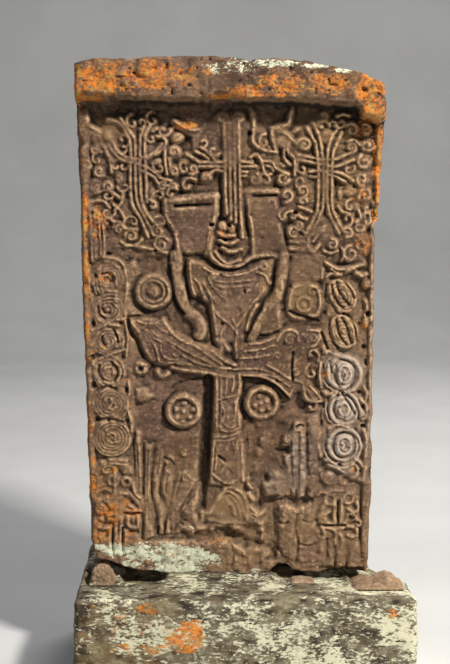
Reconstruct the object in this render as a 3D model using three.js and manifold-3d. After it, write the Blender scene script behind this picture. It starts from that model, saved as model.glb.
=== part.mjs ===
// A cross-stone: a carved upright slab with a projecting cornice, bedded on a rough
// base stone with three small packing stones in its joint.
// Millimetres, +Z up, the carved face looks along -Y.
import * as THREE from "three";
import { mergeVertices } from "three/addons/utils/BufferGeometryUtils.js";
import Module from "manifold-3d";

const wasm = await Module();
wasm.setup();

// Slab
const SLAB_HEIGHT = 1662;
const SLAB_WIDTH = 942;
const SLAB_THICKNESS = 230;
const CORNICE_REACH = 70;
const CAVETTO_DROP = 60;

// Depths of the carving, measured from the slab's face
const CREST_DEPTH = 1;
const PLAIN_DEPTH = 8;
const GROUND_DEPTH = 25;
const PIT_DEPTH = 40;
const STRAND_WIDTH = 10;
const CHAMFER = 3;
const CHIP_REACH = 95;

// Base stone
const PEDESTAL_WIDTH = 1082;
const PEDESTAL_DEPTH = 580;
const PEDESTAL_HEIGHT = 300;
const PEDESTAL_LEFT_OF_SLAB_MIDDLE = 492;
const PEDESTAL_FRONT_OF_FACE = 230;
const PEDESTAL_WEAR = 0.09;
const SHOULDER = 46;
const LEFT_HOLLOW = 20;
const LEFT_CAVITY = 44;
const RIGHT_HOLLOW = 28;
const MIDDLE_HOLLOW = 26;
const CORNER_LOSS_ACROSS = 115;
const CORNER_LOSS_DEEP = 330;

// Packing stones and the joint they lie in
const JOINT = 0.3;
const LEFT_STONE_WIDTH = 80;
const LEFT_STONE_HEIGHT = 52;
const LEFT_STONE_DEPTH = 110;
const LEFT_STONE_INSET = 13;
const LEFT_STONE_PROUD = 62;
const STONE_ROOM = 11;
const WEDGE_WIDTH = 168;
const WEDGE_HEIGHT = 36;
const WEDGE_THIN_END = 12;
const WEDGE_DEPTH = 110;
const WEDGE_BEVEL = 9;
const WEDGE_PROUD = 38;
const SLIVER_WIDTH = 78;
const SLIVER_HEIGHT = 12;
const SLIVER_DEPTH = 64;
const SLIVER_FROM_MIDDLE = 236;
const SLIVER_ROOM = 57;

// The face's outline and carving are drawn, in places across and up from the middle of the
// slab's foot, on a sheet of this size, and follow the slab when it is resized.
const DRAWING = new THREE.Vector2(942, 1662);
const ACROSS = SLAB_WIDTH / DRAWING.x;
const UP = SLAB_HEIGHT / DRAWING.y;

// How far carved forms are sunk into the ground behind them
const ROOT = -GROUND_DEPTH - 5;
const CREST = -CREST_DEPTH;
const PLAIN = -PLAIN_DEPTH;
const BACK = -SLAB_THICKNESS;

const onFace = (x, y) => new THREE.Vector2(x * ACROSS, y * UP);

// A closed geometry as a solid with its faces turned outwards.
function solidOf(geometry) {
  const bare = geometry.index ? geometry.toNonIndexed() : geometry.clone();
  bare.deleteAttribute("normal");
  bare.deleteAttribute("uv");
  const merged = mergeVertices(bare, 1e-3);
  const corners = merged.index.array;
  const places = merged.attributes.position.array;
  const faces = [];
  let volume = 0;
  for (let i = 0; i < corners.length; i += 3) {
    const [a, b, c] = corners.slice(i, i + 3);
    if (a === b || b === c || c === a) continue;
    faces.push([a, b, c]);
    const [p, q, r] = [a, b, c].map((k) => new THREE.Vector3().fromArray(places, 3 * k));
    volume += p.dot(q.cross(r));
  }
  if (volume < 0) faces.forEach((face) => face.reverse());
  return new wasm.Manifold(
    new wasm.Mesh({
      numProp: 3,
      vertProperties: new Float32Array(places),
      triVerts: new Uint32Array(faces.flat()),
    }),
  );
}

// The mesh of a solid.
function meshOf(name, solid, colour, roughness) {
  const { vertProperties, triVerts } = solid.getMesh();
  const geometry = new THREE.BufferGeometry();
  geometry.setAttribute("position", new THREE.BufferAttribute(vertProperties, 3));
  geometry.setIndex(new THREE.BufferAttribute(triVerts, 1));
  geometry.computeVertexNormals();
  const material = new THREE.MeshStandardMaterial({ color: colour, roughness, metalness: 0 });
  const mesh = new THREE.Mesh(geometry, material);
  mesh.name = name;
  return mesh;
}

// A flat-topped form of any outline, from depth `bottom` to height `top`.
function plate(outline, top = PLAIN, bottom = ROOT, chamfer = 0) {
  const shape = new THREE.Shape(outline.map(([x, y]) => onFace(x, y)));
  const geometry = new THREE.ExtrudeGeometry(shape, {
    depth: top - bottom - 2 * chamfer,
    bevelEnabled: chamfer > 0,
    bevelThickness: chamfer,
    bevelSize: chamfer,
    bevelOffset: -chamfer,
    bevelSegments: 1,
  });
  return solidOf(geometry.translate(0, 0, bottom + chamfer));
}

// A carved cord along a smooth line, with a narrower crest than foot.
function strand(points, width = STRAND_WIDTH, crest = CREST, steps = points.length - 1) {
  const path = new THREE.CatmullRomCurve3(
    points.map(([x, y]) => new THREE.Vector3(...onFace(x, y), 0)),
  );
  const section = new THREE.Shape([
    new THREE.Vector2(-crest, -0.28 * width),
    new THREE.Vector2(-crest, 0.28 * width),
    new THREE.Vector2(-ROOT, 0.6 * width),
    new THREE.Vector2(-ROOT, -0.6 * width),
  ]);
  return solidOf(new THREE.ExtrudeGeometry(section, { steps, extrudePath: path }));
}

// A band with sharp corners, as a frame has.
function band(points, width, top = CREST) {
  const line = points.map(([x, y]) => new THREE.Vector2(x, y));
  const side = (sign) =>
    line.map((point, i) => {
      const before = point.clone().sub(line[Math.max(i - 1, 0)]).normalize();
      const after = line[Math.min(i + 1, line.length - 1)].clone().sub(point).normalize();
      const along = before.clone().add(after).normalize();
      const reach = (0.5 * width) / Math.max(along.dot(i ? before : after), 0.5);
      return [point.x - sign * along.y * reach, point.y + sign * along.x * reach];
    });
  return plate([...side(1), ...side(-1).reverse()], top, ROOT, CHAMFER);
}

// A turned form, set on the face at (x, y): `profile` is radius and height from its axis.
function turned(x, y, profile, sides = 12, stretch = 1, tilt = 0) {
  const points = profile.map(([radius, height]) => new THREE.Vector2(radius, height));
  const geometry = new THREE.LatheGeometry(points, sides);
  geometry.rotateX(Math.PI / 2).scale(ACROSS, stretch * ACROSS, 1).rotateZ(tilt);
  return solidOf(geometry.translate(...onFace(x, y), 0));
}

// Ridges and grooves round a middle: the border's knots and the roundels.
function knot({ x, y, radius, ridges, stretch = 1, tilt = 0, groove = 15, middle = 9, crest = CREST }) {
  const pitch = (radius - middle) / ridges;
  const profile = [[0, ROOT], [radius + 2, ROOT]];
  for (let i = 0; i < ridges; i++) {
    profile.push([radius - pitch * (i + 0.28), crest]);
    profile.push([radius - pitch * (i + 1), crest - groove]);
  }
  profile.push([0, crest - 2]);
  return turned(x, y, profile, 10, stretch, tilt);
}

// The round end of a scroll: a ring with a sunk eye.
function curl(x, y, radius, crest = CREST - 2) {
  const profile = [
    [0, ROOT],
    [radius + 1, ROOT],
    [0.74 * radius, crest],
    [0, crest - 12],
  ];
  return turned(x, y, profile, 6);
}

// A round-topped lump or leaf lobe.
function lobe(x, y, radius, stretch = 1, tilt = 0, crest = CREST) {
  const profile = [
    [0, ROOT],
    [radius + 1, ROOT],
    [0.78 * radius, crest - 4],
    [0, crest],
  ];
  return turned(x, y, profile, 6, stretch, tilt);
}

// A broken or drilled hollow, deeper than the ground.
function pit(x, y, radius, stretch = 1, tilt = 0, depth = PIT_DEPTH) {
  const profile = [
    [0, -depth],
    [0.7 * radius, -depth + 4],
    [1.25 * radius, CREST_DEPTH],
    [0, CREST_DEPTH],
  ];
  return turned(x, y, profile, 6, stretch, tilt);
}

const join = (solids) => solids.reduce((whole, solid) => whole.add(solid));

// The stone: its outline, chipped along the foot, and the cornice with its cavetto.
function slabBody() {
  const left = [[-454, 24], [-458, 140], [-466, 560], [-474, 1000], [-477, 1300], [-480, 1420]];
  const right = [[452, 0], [459, 300], [456, 1146], [468, 1154], [474, 1310], [480, 1420]];
  const outline = [[-440, 0], ...left, [-482, 1560], [478, 1560], ...right.reverse()];
  const body = plate(outline, 0, BACK);
  const lip = [
    [-484, 1546], [-410, 1541], [-360, 1532], [-100, 1525], [-48, 1542], [-12, 1536],
    [60, 1525], [200, 1524], [300, 1515], [385, 1512], [408, 1488], [452, 1464], [477, 1470],
  ];
  const crown = [
    [478, 1560], [465, 1588], [432, 1598], [332, 1628], [226, 1650], [141, 1656], [74, 1656],
    [54, 1646], [41, 1656], [-58, 1661], [-151, 1662], [-257, 1660], [-422, 1656], [-478, 1642],
  ];
  return body.add(plate([...lip, ...crown], CORNICE_REACH, BACK));
}

// The hollow moulding under the cornice.
function cavetto() {
  const top = 1548 * UP;
  const foot = top - CAVETTO_DROP - 18;
  const out = 0.62 * CORNICE_REACH;
  const section = new THREE.Shape();
  section.moveTo(-ROOT, foot);
  section.lineTo(8, foot);
  section.quadraticCurveTo(-0.15 * out, top - 0.45 * CAVETTO_DROP, -out, top - 12);
  section.lineTo(-out, top);
  section.lineTo(-ROOT, top);
  const width = 930 * ACROSS;
  const geometry = new THREE.ExtrudeGeometry(section, {
    depth: width,
    bevelEnabled: false,
    curveSegments: 4,
  });
  return solidOf(geometry.rotateY(-Math.PI / 2).translate(0.5 * width, 0, 0));
}

// The sunk ground of the whole face, inside a narrow plain edge.
function groundCut() {
  const outline = [
    [-440, 150], [-447, 560], [-456, 1000], [-462, 1478], [462, 1478], [456, 1165],
    [440, 1140], [443, 560], [440, 20], [310, 14], [205, 30], [120, 90], [-110, 100], [-300, 95],
  ];
  return plate(outline, CORNICE_REACH, -GROUND_DEPTH);
}

// Plain raised panels: beside the foot of the middle cross, and behind the border.
function panels() {
  return [
    plate([[-205, 1222], [-45, 1236], [-48, 1178], [-70, 1104], [-76, 1052], [-166, 1052], [-186, 1136]]),
    plate([[48, 1250], [146, 1250], [152, 1160], [180, 1058], [76, 1052], [68, 1104], [60, 1190]]),
    plate([[-345, 842], [-340, 1010], [-300, 1036], [-292, 985], [-312, 930], [-300, 850]]),
    plate([[188, 1052], [296, 1052], [294, 944], [262, 934], [200, 950], [184, 978]], PLAIN - 2),
    plate([[110, 905], [156, 905], [158, 840], [150, 800], [120, 790], [96, 800], [104, 860]], PLAIN - 3),
    plate([[232, 220], [250, 222], [274, 205], [276, 60], [160, 40], [158, 104], [228, 110]], PLAIN - 3),
    plate([[-178, 1466], [-100, 1438], [-100, 1366], [-122, 1366], [-124, 1420], [-184, 1446]]),
  ];
}

// Stepped frames that run from under the cornice round the middle cross, and the tall
// curved frame on either side of the great cross's upper arm.
function frames() {
  return [
    band([[50, 1520], [66, 1498], [72, 1470], [68, 1410], [86, 1386], [142, 1371]], 11),
    band([[143, 1371], [134, 1402], [128, 1440], [182, 1456], [196, 1528]], 11),
    band([[-204, 1214], [-120, 1224], [-48, 1230], [-50, 1180], [-72, 1100], [-76, 1046]], 13),
    band([[145, 1242], [52, 1244], [58, 1190], [70, 1104], [72, 1040]], 13),
    band([[-172, 1046], [-172, 975], [-162, 920], [-148, 878], [-108, 842], [-96, 792]], 27, CREST - 1),
    band([[172, 1040], [164, 960], [152, 915], [112, 868], [84, 812], [70, 778]], 25, CREST - 2),
    band([[-62, 1100], [-68, 1062], [-50, 1032], [0, 1008], [46, 1018], [66, 1038], [140, 1042]], 11),
    band([[-462, 1190], [-460, 1462]], 20, CREST),
    band([[293, 1004], [286, 940], [300, 748]], 10, PLAIN),
  ];
}

// A shaft of four cords that part into a flare at its top and foot.
function shaft({ x, lean = 0, foot, head, flareFoot, flareHead, spread }) {
  const cords = [];
  for (const place of [-1.5, -0.5, 0.5, 1.5]) {
    const side = Math.sign(place) * (Math.abs(place) > 1 ? 1 : 0.55);
    const at = x + place * 14.5;
    const low = flareFoot ? [[at + side * spread, flareFoot]] : [];
    const high = flareHead ? [[at + side * spread, flareHead]] : [];
    cords.push(strand([...low, [at - lean, foot], [at + lean, head], ...high]));
  }
  return cords;
}

// The small cross at the upper left.
function leftCross() {
  const curls = [
    [-392, 1418, 16], [-430, 1378, 17], [-415, 1312, 18], [-424, 1264, 20],
    [-180, 1372, 20], [-180, 1312, 17], [-214, 1262, 15], [-224, 1080, 24], [-316, 1106, 19],
  ];
  return [
    ...shaft({ x: -290, lean: -4, foot: 1196, head: 1392, flareFoot: 1106, flareHead: 1462, spread: 36 }),
    strand([[-300, 1346], [-346, 1362], [-384, 1400]], 15),
    strand([[-400, 1392], [-386, 1350], [-382, 1306]]),
    strand([[-280, 1350], [-240, 1362], [-206, 1396]], 13),
    strand([[-282, 1318], [-226, 1288], [-190, 1280]], 14),
    ...curls.map((places) => curl(...places)),
    lobe(-170, 1414, 15, 1.1),
    strand([[-404, 1240], [-366, 1236], [-330, 1216]], 9),
  ];
}

// The small cross in the middle, whose shaft runs down between the panels.
function middleCross() {
  const curls = [
    [-26, 1476, 17], [26, 1476, 17], [-122, 1320, 18], [-80, 1292, 13], [76, 1285, 19], [96, 1352, 14],
  ];
  return [
    ...shaft({ x: 4, lean: -2, foot: 1188, head: 1452 }),
    strand([[14, 1190], [36, 1104]]),
    strand([[-108, 1330], [100, 1328]], 19),
    strand([[-76, 1302], [48, 1306]], 9),
    strand([[104, 1336], [142, 1330], [180, 1300]]),
    ...curls.map((places) => curl(...places)),
    strand([[-50, 1056], [-20, 1024], [40, 1036]]),
  ];
}

// The small cross at the upper right.
function rightCross() {
  const curls = [
    [380, 1440, 21], [378, 1385, 17], [430, 1390, 23], [420, 1338, 22], [415, 1285, 21],
    [425, 1235, 23], [230, 1392, 20], [165, 1290, 21], [226, 1248, 22], [200, 1116, 17],
    [370, 1115, 19], [384, 1050, 24],
  ];
  return [
    ...shaft({ x: 299, lean: -2, foot: 1212, head: 1385, flareFoot: 1112, flareHead: 1452, spread: 38 }),
    strand([[206, 1362], [256, 1350], [336, 1344], [386, 1370]], 14),
    strand([[246, 1308], [300, 1312], [386, 1280]], 14),
    strand([[182, 1400], [190, 1350], [200, 1296]]),
    ...curls.map((places) => curl(...places)),
    lobe(302, 1424, 15, 1.4),
    strand([[302, 1022], [356, 1002], [408, 1012]], 12),
  ];
}

// The knotted border on either side: linked round knots, with cords crossing between them.
function borders() {
  const left = [
    [-388, 972, 48], [-388, 872, 50], [-389, 770, 54], [-389, 668, 54], [-388, 566, 58], [-386, 452, 62],
  ];
  const right = [
    [352, 922, 50, 1.25, -0.5], [364, 796, 56, 1.15, -0.4], [362, 664, 70, 1, 0],
    [366, 546, 58, 1.02, 0.3], [368, 426, 66, 0.98, 0],
  ];
  return [
    ...left.map(([x, y, radius]) => knot({ x, y, radius, ridges: 3 })),
    ...right.map(([x, y, radius, stretch, tilt]) => knot({ x, y, radius, ridges: 3, stretch, tilt })),
    strand([[-450, 1190], [-444, 1020]], 14),
    strand([[-424, 1180], [-422, 1040]], 12),
    strand([[-412, 1038], [-344, 1018], [-334, 992]], 11),
    lobe(432, 528, 20, 1.2, 0.4),
    lobe(398, 346, 20, 1.1),
    lobe(320, 322, 26, 0.8),
  ];
}

// The four roundels between the arms of the great cross.
function roundels() {
  const ring = (x, y, radius) =>
    turned(x, y, [
      [0, ROOT], [radius + 1, ROOT], [radius - 3, CREST], [radius - 10, CREST],
      [radius - 15, CREST - 13], [0.5 * radius, CREST - 5], [0, CREST - 11],
    ], 12);
  return [
    knot({ x: -247, y: 930, radius: 55, ridges: 2, middle: 24, groove: 12 }),
    knot({ x: 234, y: 893, radius: 50, ridges: 2, middle: 18, groove: 9, crest: CREST - 3 }),
    ring(-154, 540, 54),
    ring(101, 566, 53),
  ];
}

// The great cross: its flared arms, the cords along them and the knotted shaft.
function greatCross() {
  const upperArm = [
    [-132, 1032], [-92, 1020], [-50, 998], [0, 990], [50, 1000], [92, 1020], [136, 1032],
    [123, 960], [84, 900], [52, 850], [38, 770], [-48, 770], [-58, 850], [-78, 894], [-124, 930],
  ];
  const leftArm = [
    [-40, 742], [-112, 766], [-190, 806], [-216, 838], [-326, 840], [-282, 740],
    [-262, 700], [-306, 690], [-310, 655], [-296, 632], [-308, 604], [-296, 572],
    [-258, 584], [-232, 610], [-232, 640], [-40, 655],
  ];
  const rightArm = [
    [30, 655], [106, 650], [186, 592], [222, 604], [246, 574], [298, 572],
    [276, 606], [254, 650], [246, 748], [274, 760], [288, 802], [204, 810],
    [140, 800], [90, 772], [30, 760],
  ];
  const lowerArm = [
    [-46, 660], [32, 660], [29, 480], [40, 448], [38, 300], [-72, 300], [-58, 460], [-46, 484],
  ];
  return [
    ...[upperArm, leftArm, rightArm, lowerArm].map((arm) => plate(arm, CREST - 7, ROOT, CHAMFER)),
    ...greatCrossCords(),
    ...greatCrossShaft(),
  ];
}

function greatCrossCords() {
  const cords = [
    [[-50, 956], [60, 957]],
    [[-112, 966], [-84, 912]],
    [[-86, 962], [-50, 900]],
    [[-54, 900], [-44, 862], [14, 800], [16, 700]],
    [[96, 918], [60, 878], [22, 800]],
    [[-216, 832], [-150, 766], [-10, 706]],
    [[-204, 772], [-46, 690]],
    [[-236, 736], [-200, 708], [-60, 690]],
    [[-165, 676], [10, 655]],
    [[-318, 830], [-288, 776], [-262, 706]],
    [[-286, 838], [-256, 770]],
    [[14, 676], [96, 679], [196, 626]],
    [[40, 656], [108, 648], [178, 600]],
    [[150, 772], [204, 806], [216, 782]],
    [[226, 636], [240, 588], [290, 576]],
  ];
  return [
    ...cords.map((points) => strand(points, 11)),
    curl(-60, 980, 16),
    curl(98, 938, 22),
    curl(-288, 672, 18),
    curl(-280, 596, 20),
    curl(262, 780, 20),
  ];
}

function greatCrossShaft() {
  const outer = [
    [[-44, 650], [-42, 486]],
    [[30, 662], [28, 486]],
    [[-54, 452], [-66, 330]],
    [[34, 444], [38, 312]],
    [[-42, 576], [26, 604]],
    [[-56, 456], [28, 468]],
  ];
  return [
    ...outer.map((points) => strand(points, 11)),
    lobe(-8, 530, 15, 1.9),
    lobe(-11, 410, 15, 1.9),
    lobe(-16, 338, 21, 1.2),
  ];
}

// The mound that the great cross stands on: arches within arches over two cords and scrolls.
function mound() {
  const arch = (reach, crown, foot) => [
    [-14 - reach, foot], [-14 - 0.62 * reach, 0.45 * foot + 0.55 * crown], [-2, crown],
    [2 + 0.8 * reach, 0.4 * foot + 0.6 * crown], [8 + reach, foot],
  ];
  return [
    plate([[-82, 190], [-14, 286], [26, 276], [50, 240], [56, 160], [-76, 150]], CREST - 9),
    strand(arch(52, 286, 168), 11),
    strand(arch(34, 264, 166), 10),
    lobe(-2, 220, 20, 1.2),
    strand([[-80, 180], [-30, 169], [42, 166]], 11),
    strand([[-60, 156], [4, 152]], 9),
    curl(20, 146, 21),
    curl(70, 182, 22),
    lobe(136, 298, 44, 1.1, 0.5, CREST - 2),
  ];
}

// Tall leaves that rise from the foot on either side of the great cross.
function palmettes() {
  const leaf = ([x0, y0], [x1, y1], width, top = PLAIN + 3) => {
    const half = 0.5 * width;
    return plate([
      [x0 - 0.7 * half, y0], [x1 - half, y1 - half], [x1 - 0.4 * half, y1],
      [x1 + 0.5 * half, y1], [x1 + half, y1 - half], [x0 + 0.7 * half, y0],
    ], top, ROOT, CHAMFER);
  };
  return [
    leaf([-284, 140], [-300, 470], 26),
    leaf([-262, 120], [-270, 440], 25),
    leaf([-240, 110], [-240, 420], 26),
    leaf([-222, 110], [-206, 352], 30, PLAIN + 1),
    leaf([-206, 110], [-160, 344], 32, PLAIN + 2),
    leaf([-190, 100], [-118, 300], 30, PLAIN),
    curl(-196, 378, 20),
    curl(-142, 320, 21),
    plate([[166, 412], [174, 430], [206, 440], [210, 372], [184, 372], [188, 392]], PLAIN + 2),
    plate([[168, 360], [208, 356], [212, 320], [220, 254], [206, 252], [184, 310]], PLAIN),
    plate([[218, 440], [200, 490], [216, 512], [238, 504], [246, 300], [238, 248], [222, 256]], PLAIN + 3),
    plate([[250, 470], [244, 512], [268, 528], [286, 536], [286, 440], [282, 334], [256, 336]], PLAIN + 4),
    curl(186, 446, 17),
    lobe(268, 298, 28, 1.2),
    curl(184, 208, 20),
    curl(190, 134, 25),
  ];
}

// The small crosses with curled ends in the two lower corners.
function cornerCrosses() {
  return [
    band([[-366, 270], [-366, 96]], 20, PLAIN + 2),
    strand([[-390, 372], [-344, 368]], 15),
    plate([[-366, 354], [-350, 330], [-316, 324], [-318, 350], [-338, 368]], PLAIN + 2),
    curl(-383, 306, 21),
    curl(-342, 304, 18),
    curl(-420, 228, 25),
    lobe(-415, 366, 17),
    strand([[-350, 264], [-310, 250], [-300, 208]], 12),
    strand([[-402, 188], [-362, 186]], 14),
    plate([[-346, 198], [-300, 194], [-300, 150], [-336, 150]], PLAIN - 2),
    lobe(-428, 178, 18, 1.1),
    curl(325, 246, 22),
    curl(385, 248, 22),
    curl(302, 182, 19),
    curl(396, 182, 20),
    strand([[340, 232], [338, 164]], 13),
    strand([[363, 240], [360, 168]], 13),
    strand([[300, 266], [356, 266], [412, 256]], 9),
    curl(296, 132, 17),
    strand([[316, 150], [344, 136], [342, 92]], 12),
    curl(398, 134, 20),
    plate([[352, 146], [370, 148], [376, 20], [346, 20]], PLAIN),
    plate([[326, 84], [342, 80], [342, 20], [322, 20]], PLAIN),
    plate([[388, 100], [420, 104], [430, 20], [394, 20]], PLAIN),
    plate([[300, 108], [314, 108], [312, 24], [282, 24]], PLAIN),
    band([[441, 26], [441, 470]], 24, CREST),
  ];
}

// Hollows cut or broken deeper than the ground, and the slots over the panels.
function hollows() {
  const slot = ([x0, y0], [x1, y1]) => {
    const line = new THREE.Vector2(x1 - x0, y1 - y0);
    const turn = line.angle() - Math.PI / 2;
    return pit(0.5 * (x0 + x1), 0.5 * (y0 + y1), 5, line.length() / 12, turn, GROUND_DEPTH + 3);
  };
  return [
    slot([-175, 1202], [-65, 1207]),
    slot([72, 1232], [144, 1236]),
    pit(-87, 400, 12, 6.5, -0.02),
    pit(-95, 262, 9, 4, -0.06),
    pit(18, 112, 46, 0.62, -0.35, PIT_DEPTH + 12),
    pit(-92, 122, 20, 0.4, 0, PIT_DEPTH),
    pit(120, 244, 34, 0.5, 0.2),
    pit(214, 240, 32, 0.45, -0.2),
    pit(152, 400, 24, 0.9, -0.5),
  ];
}

// Chips along the slab's foot, on the front only.
function chips() {
  const bite = (outline) => {
    const shape = new THREE.Shape(outline.map(([x, y]) => onFace(x, y)));
    const geometry = new THREE.ExtrudeGeometry(shape, { depth: CHIP_REACH, bevelEnabled: false });
    return solidOf(geometry.translate(0, 0, -CHIP_REACH + CREST_DEPTH));
  };
  return [
    bite([[-470, -10], [-470, 56], [-448, 40], [-420, 62], [-396, 48], [-352, 24], [-250, 6], [-222, -10]]),
    bite([[128, -10], [134, 24], [160, 44], [190, 34], [206, 12], [250, 4], [292, -10]]),
    bite([[300, -10], [304, 6], [352, 10], [384, 6], [432, 4], [440, -10]]),
  ];
}

function slab() {
  const carving = [
    ...panels(), ...frames(), ...leftCross(), ...middleCross(), ...rightCross(), ...borders(),
    ...roundels(), ...greatCross(), ...mound(), ...palmettes(), ...cornerCrosses(),
  ];
  const carved = slabBody().subtract(groundCut()).add(cavetto()).add(join(carving));
  return carved.subtract(join([...hollows(), ...chips()]));
}

// A rough stone block: a box with its edges worn round and its faces uneven, its underside
// flat, and its top flat where `bed` says so.
function roughBlock(width, depth, height, cells, wear, unevenness, bed = 0) {
  const geometry = new THREE.BoxGeometry(width, depth, height, ...cells);
  const place = geometry.attributes.position;
  for (let i = 0; i < place.count; i++) {
    const [x, y, z] = [place.getX(i), place.getY(i), place.getZ(i)];
    const [a, b, c] = [x / (0.5 * width), y / (0.5 * depth), z / (0.5 * height)];
    const round = (p, q) => 1 - wear * (Math.abs(p) ** 6 + Math.abs(q) ** 6) * 0.5;
    const rough = unevenness * Math.sin(2.3 * a + 3.1 * b + 1.7 * c) * Math.sin(4.1 * a - 2.7 * b + 0.9);
    const drop = Math.max(Math.abs(a) ** 8, Math.abs(b) ** 8) * wear * 0.5 * height;
    const up = Math.max(c, 0);
    const flat = c < 1 || Math.max(Math.abs(a), Math.abs(b)) < bed;
    place.setX(i, x * round(b, up) + (Math.abs(a) > 0.999 ? rough : 0));
    place.setY(i, y * round(a, up) + (Math.abs(b) > 0.999 ? rough : 0));
    place.setZ(i, flat ? z : z - drop);
  }
  return geometry;
}

// The base stone, with its top at zero and hollows where the packing stones lie.
function pedestal() {
  const block = roughBlock(
    PEDESTAL_WIDTH, PEDESTAL_DEPTH, PEDESTAL_HEIGHT, [10, 6, 3], PEDESTAL_WEAR, 9, 0.75);
  const middle = 0.5 * PEDESTAL_WIDTH - PEDESTAL_LEFT_OF_SLAB_MIDDLE;
  block.translate(middle, 0.5 * PEDESTAL_DEPTH - PEDESTAL_FRONT_OF_FACE, -0.5 * PEDESTAL_HEIGHT - JOINT);
  const hollow = (outline, depth) => {
    const shape = new THREE.Shape(outline.map(([x, y]) => new THREE.Vector2(x, y)));
    const reach = depth + SHOULDER;
    const geometry = new THREE.ExtrudeGeometry(shape, { depth: reach, bevelEnabled: false });
    return solidOf(geometry.translate(0, 0, -depth));
  };
  const back = SLAB_THICKNESS + PEDESTAL_DEPTH;
  const rightEdge = PEDESTAL_WIDTH - PEDESTAL_LEFT_OF_SLAB_MIDDLE + SHOULDER;
  const pocket = -0.5 * SLAB_WIDTH + LEFT_STONE_INSET - STONE_ROOM;
  const nook = pocket + LEFT_STONE_WIDTH + 2 * STONE_ROOM;
  const shelf = 0.5 * SLAB_WIDTH - 0.5 * WEDGE_WIDTH;
  const slot = SLIVER_FROM_MIDDLE - 0.5 * SLIVER_WIDTH - SLIVER_ROOM;
  const lostX = rightEdge - SHOULDER - CORNER_LOSS_ACROSS;
  const lostY = PEDESTAL_DEPTH - PEDESTAL_FRONT_OF_FACE - CORNER_LOSS_DEEP;
  const corner = new THREE.Shape([
    new THREE.Vector2(rightEdge, lostY),
    new THREE.Vector2(rightEdge, back),
    new THREE.Vector2(lostX, back),
    new THREE.Vector2(lostX + 6, lostY + 0.42 * CORNER_LOSS_DEEP),
    new THREE.Vector2(lostX + 0.45 * CORNER_LOSS_ACROSS, lostY + 0.2 * CORNER_LOSS_DEEP),
  ]);
  const cornerDepth = PEDESTAL_HEIGHT + 2 * SHOULDER;
  const lostCorner = new THREE.ExtrudeGeometry(corner, { depth: cornerDepth, bevelEnabled: false });
  lostCorner.translate(0, 0, -PEDESTAL_HEIGHT - SHOULDER);
  return solidOf(block)
    .subtract(solidOf(lostCorner))
    .subtract(hollow([[pocket, -58], [pocket + 18, -84], [nook - 30, -80], [nook, -60], [nook, 60],
      [nook - 20, 84], [pocket, 72]], LEFT_HOLLOW))
    .subtract(hollow([[rightEdge, back], [shelf + 60, back], [shelf, 120], [shelf, -90], [shelf + 50, -150],
      [rightEdge, -176]], RIGHT_HOLLOW))
    .subtract(hollow([[nook - 1, -58], [nook + 60, -62], [nook + 142, -34], [nook + 150, 90],
      [nook - 1, 50]], LEFT_CAVITY))
    .subtract(hollow([[shelf + 1, -70], [shelf + 1, 70], [slot, 60], [slot - 4, -40], [slot + 60, -74]],
      MIDDLE_HOLLOW));
}

// A small stone laid under the slab's left end.
function leftPackingStone() {
  const block = roughBlock(
    LEFT_STONE_WIDTH, LEFT_STONE_DEPTH, LEFT_STONE_HEIGHT, [3, 3, 2], 0.22, 3);
  const x = -0.5 * SLAB_WIDTH + 0.5 * LEFT_STONE_WIDTH + LEFT_STONE_INSET;
  const z = 0.5 * LEFT_STONE_HEIGHT + JOINT - LEFT_HOLLOW;
  return solidOf(block.translate(x, 0.5 * LEFT_STONE_DEPTH - LEFT_STONE_PROUD, z));
}

// A flat spall driven in at the right foot: thin under the slab, thick beside it.
function rightWedgeStone() {
  const under = 0.5 * SLAB_WIDTH - 20;
  const side = new THREE.Shape();
  const left = 0.5 * SLAB_WIDTH - 0.46 * WEDGE_WIDTH;
  side.moveTo(left, 0);
  side.lineTo(left + WEDGE_WIDTH, 0);
  side.lineTo(left + WEDGE_WIDTH - 12, 0.8 * WEDGE_HEIGHT);
  side.lineTo(left + 0.72 * WEDGE_WIDTH, WEDGE_HEIGHT);
  side.lineTo(under + 28, WEDGE_HEIGHT - 8);
  side.lineTo(under + 14, WEDGE_THIN_END + 4);
  side.lineTo(left + 6, WEDGE_THIN_END);
  const depth = WEDGE_DEPTH - 2 * WEDGE_BEVEL;
  const geometry = new THREE.ExtrudeGeometry(side, {
    depth,
    steps: 2,
    bevelThickness: WEDGE_BEVEL,
    bevelSize: 4,
    bevelOffset: -4,
    bevelSegments: 1,
  });
  geometry.rotateX(Math.PI / 2).translate(0, 0.62 * depth - WEDGE_PROUD, JOINT - RIGHT_HOLLOW);
  return solidOf(geometry);
}

// A thin sliver of stone in the joint right of the middle.
function thinPackingStone() {
  const block = roughBlock(SLIVER_WIDTH, SLIVER_DEPTH, SLIVER_HEIGHT, [4, 2, 1], 0.3, 2);
  return solidOf(block.translate(SLIVER_FROM_MIDDLE, -2, 0.5 * SLIVER_HEIGHT + JOINT - MIDDLE_HOLLOW));
}

const khachkar = new THREE.Group();

const slabMesh = meshOf("slab", slab(), 0x8a6a55, 0.95);
slabMesh.rotation.x = Math.PI / 2;
khachkar.add(slabMesh);
khachkar.add(meshOf("pedestal", pedestal(), 0xa3a68f, 0.95));
khachkar.add(meshOf("left_packing_stone", leftPackingStone(), 0x9c968c, 0.95));
khachkar.add(meshOf("right_wedge_stone", rightWedgeStone(), 0xb09878, 0.95));
khachkar.add(meshOf("thin_packing_stone", thinPackingStone(), 0xc4b49a, 0.95));

// The origin is under the middle of the object, on the ground it stands on.
const reach = new THREE.Box3().setFromObject(khachkar, true);
const middle = reach.getCenter(new THREE.Vector3());
khachkar.position.set(-middle.x, -middle.y, -reach.min.z);

export default khachkar;
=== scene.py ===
"""A carved cross-stone on its base stone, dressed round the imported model.

The carving is laid out in millimetres: across from the middle of the slab's foot, up from the
foot, and out of the slab's face. Meshes are made in metres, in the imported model's own frame.
"""

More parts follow.
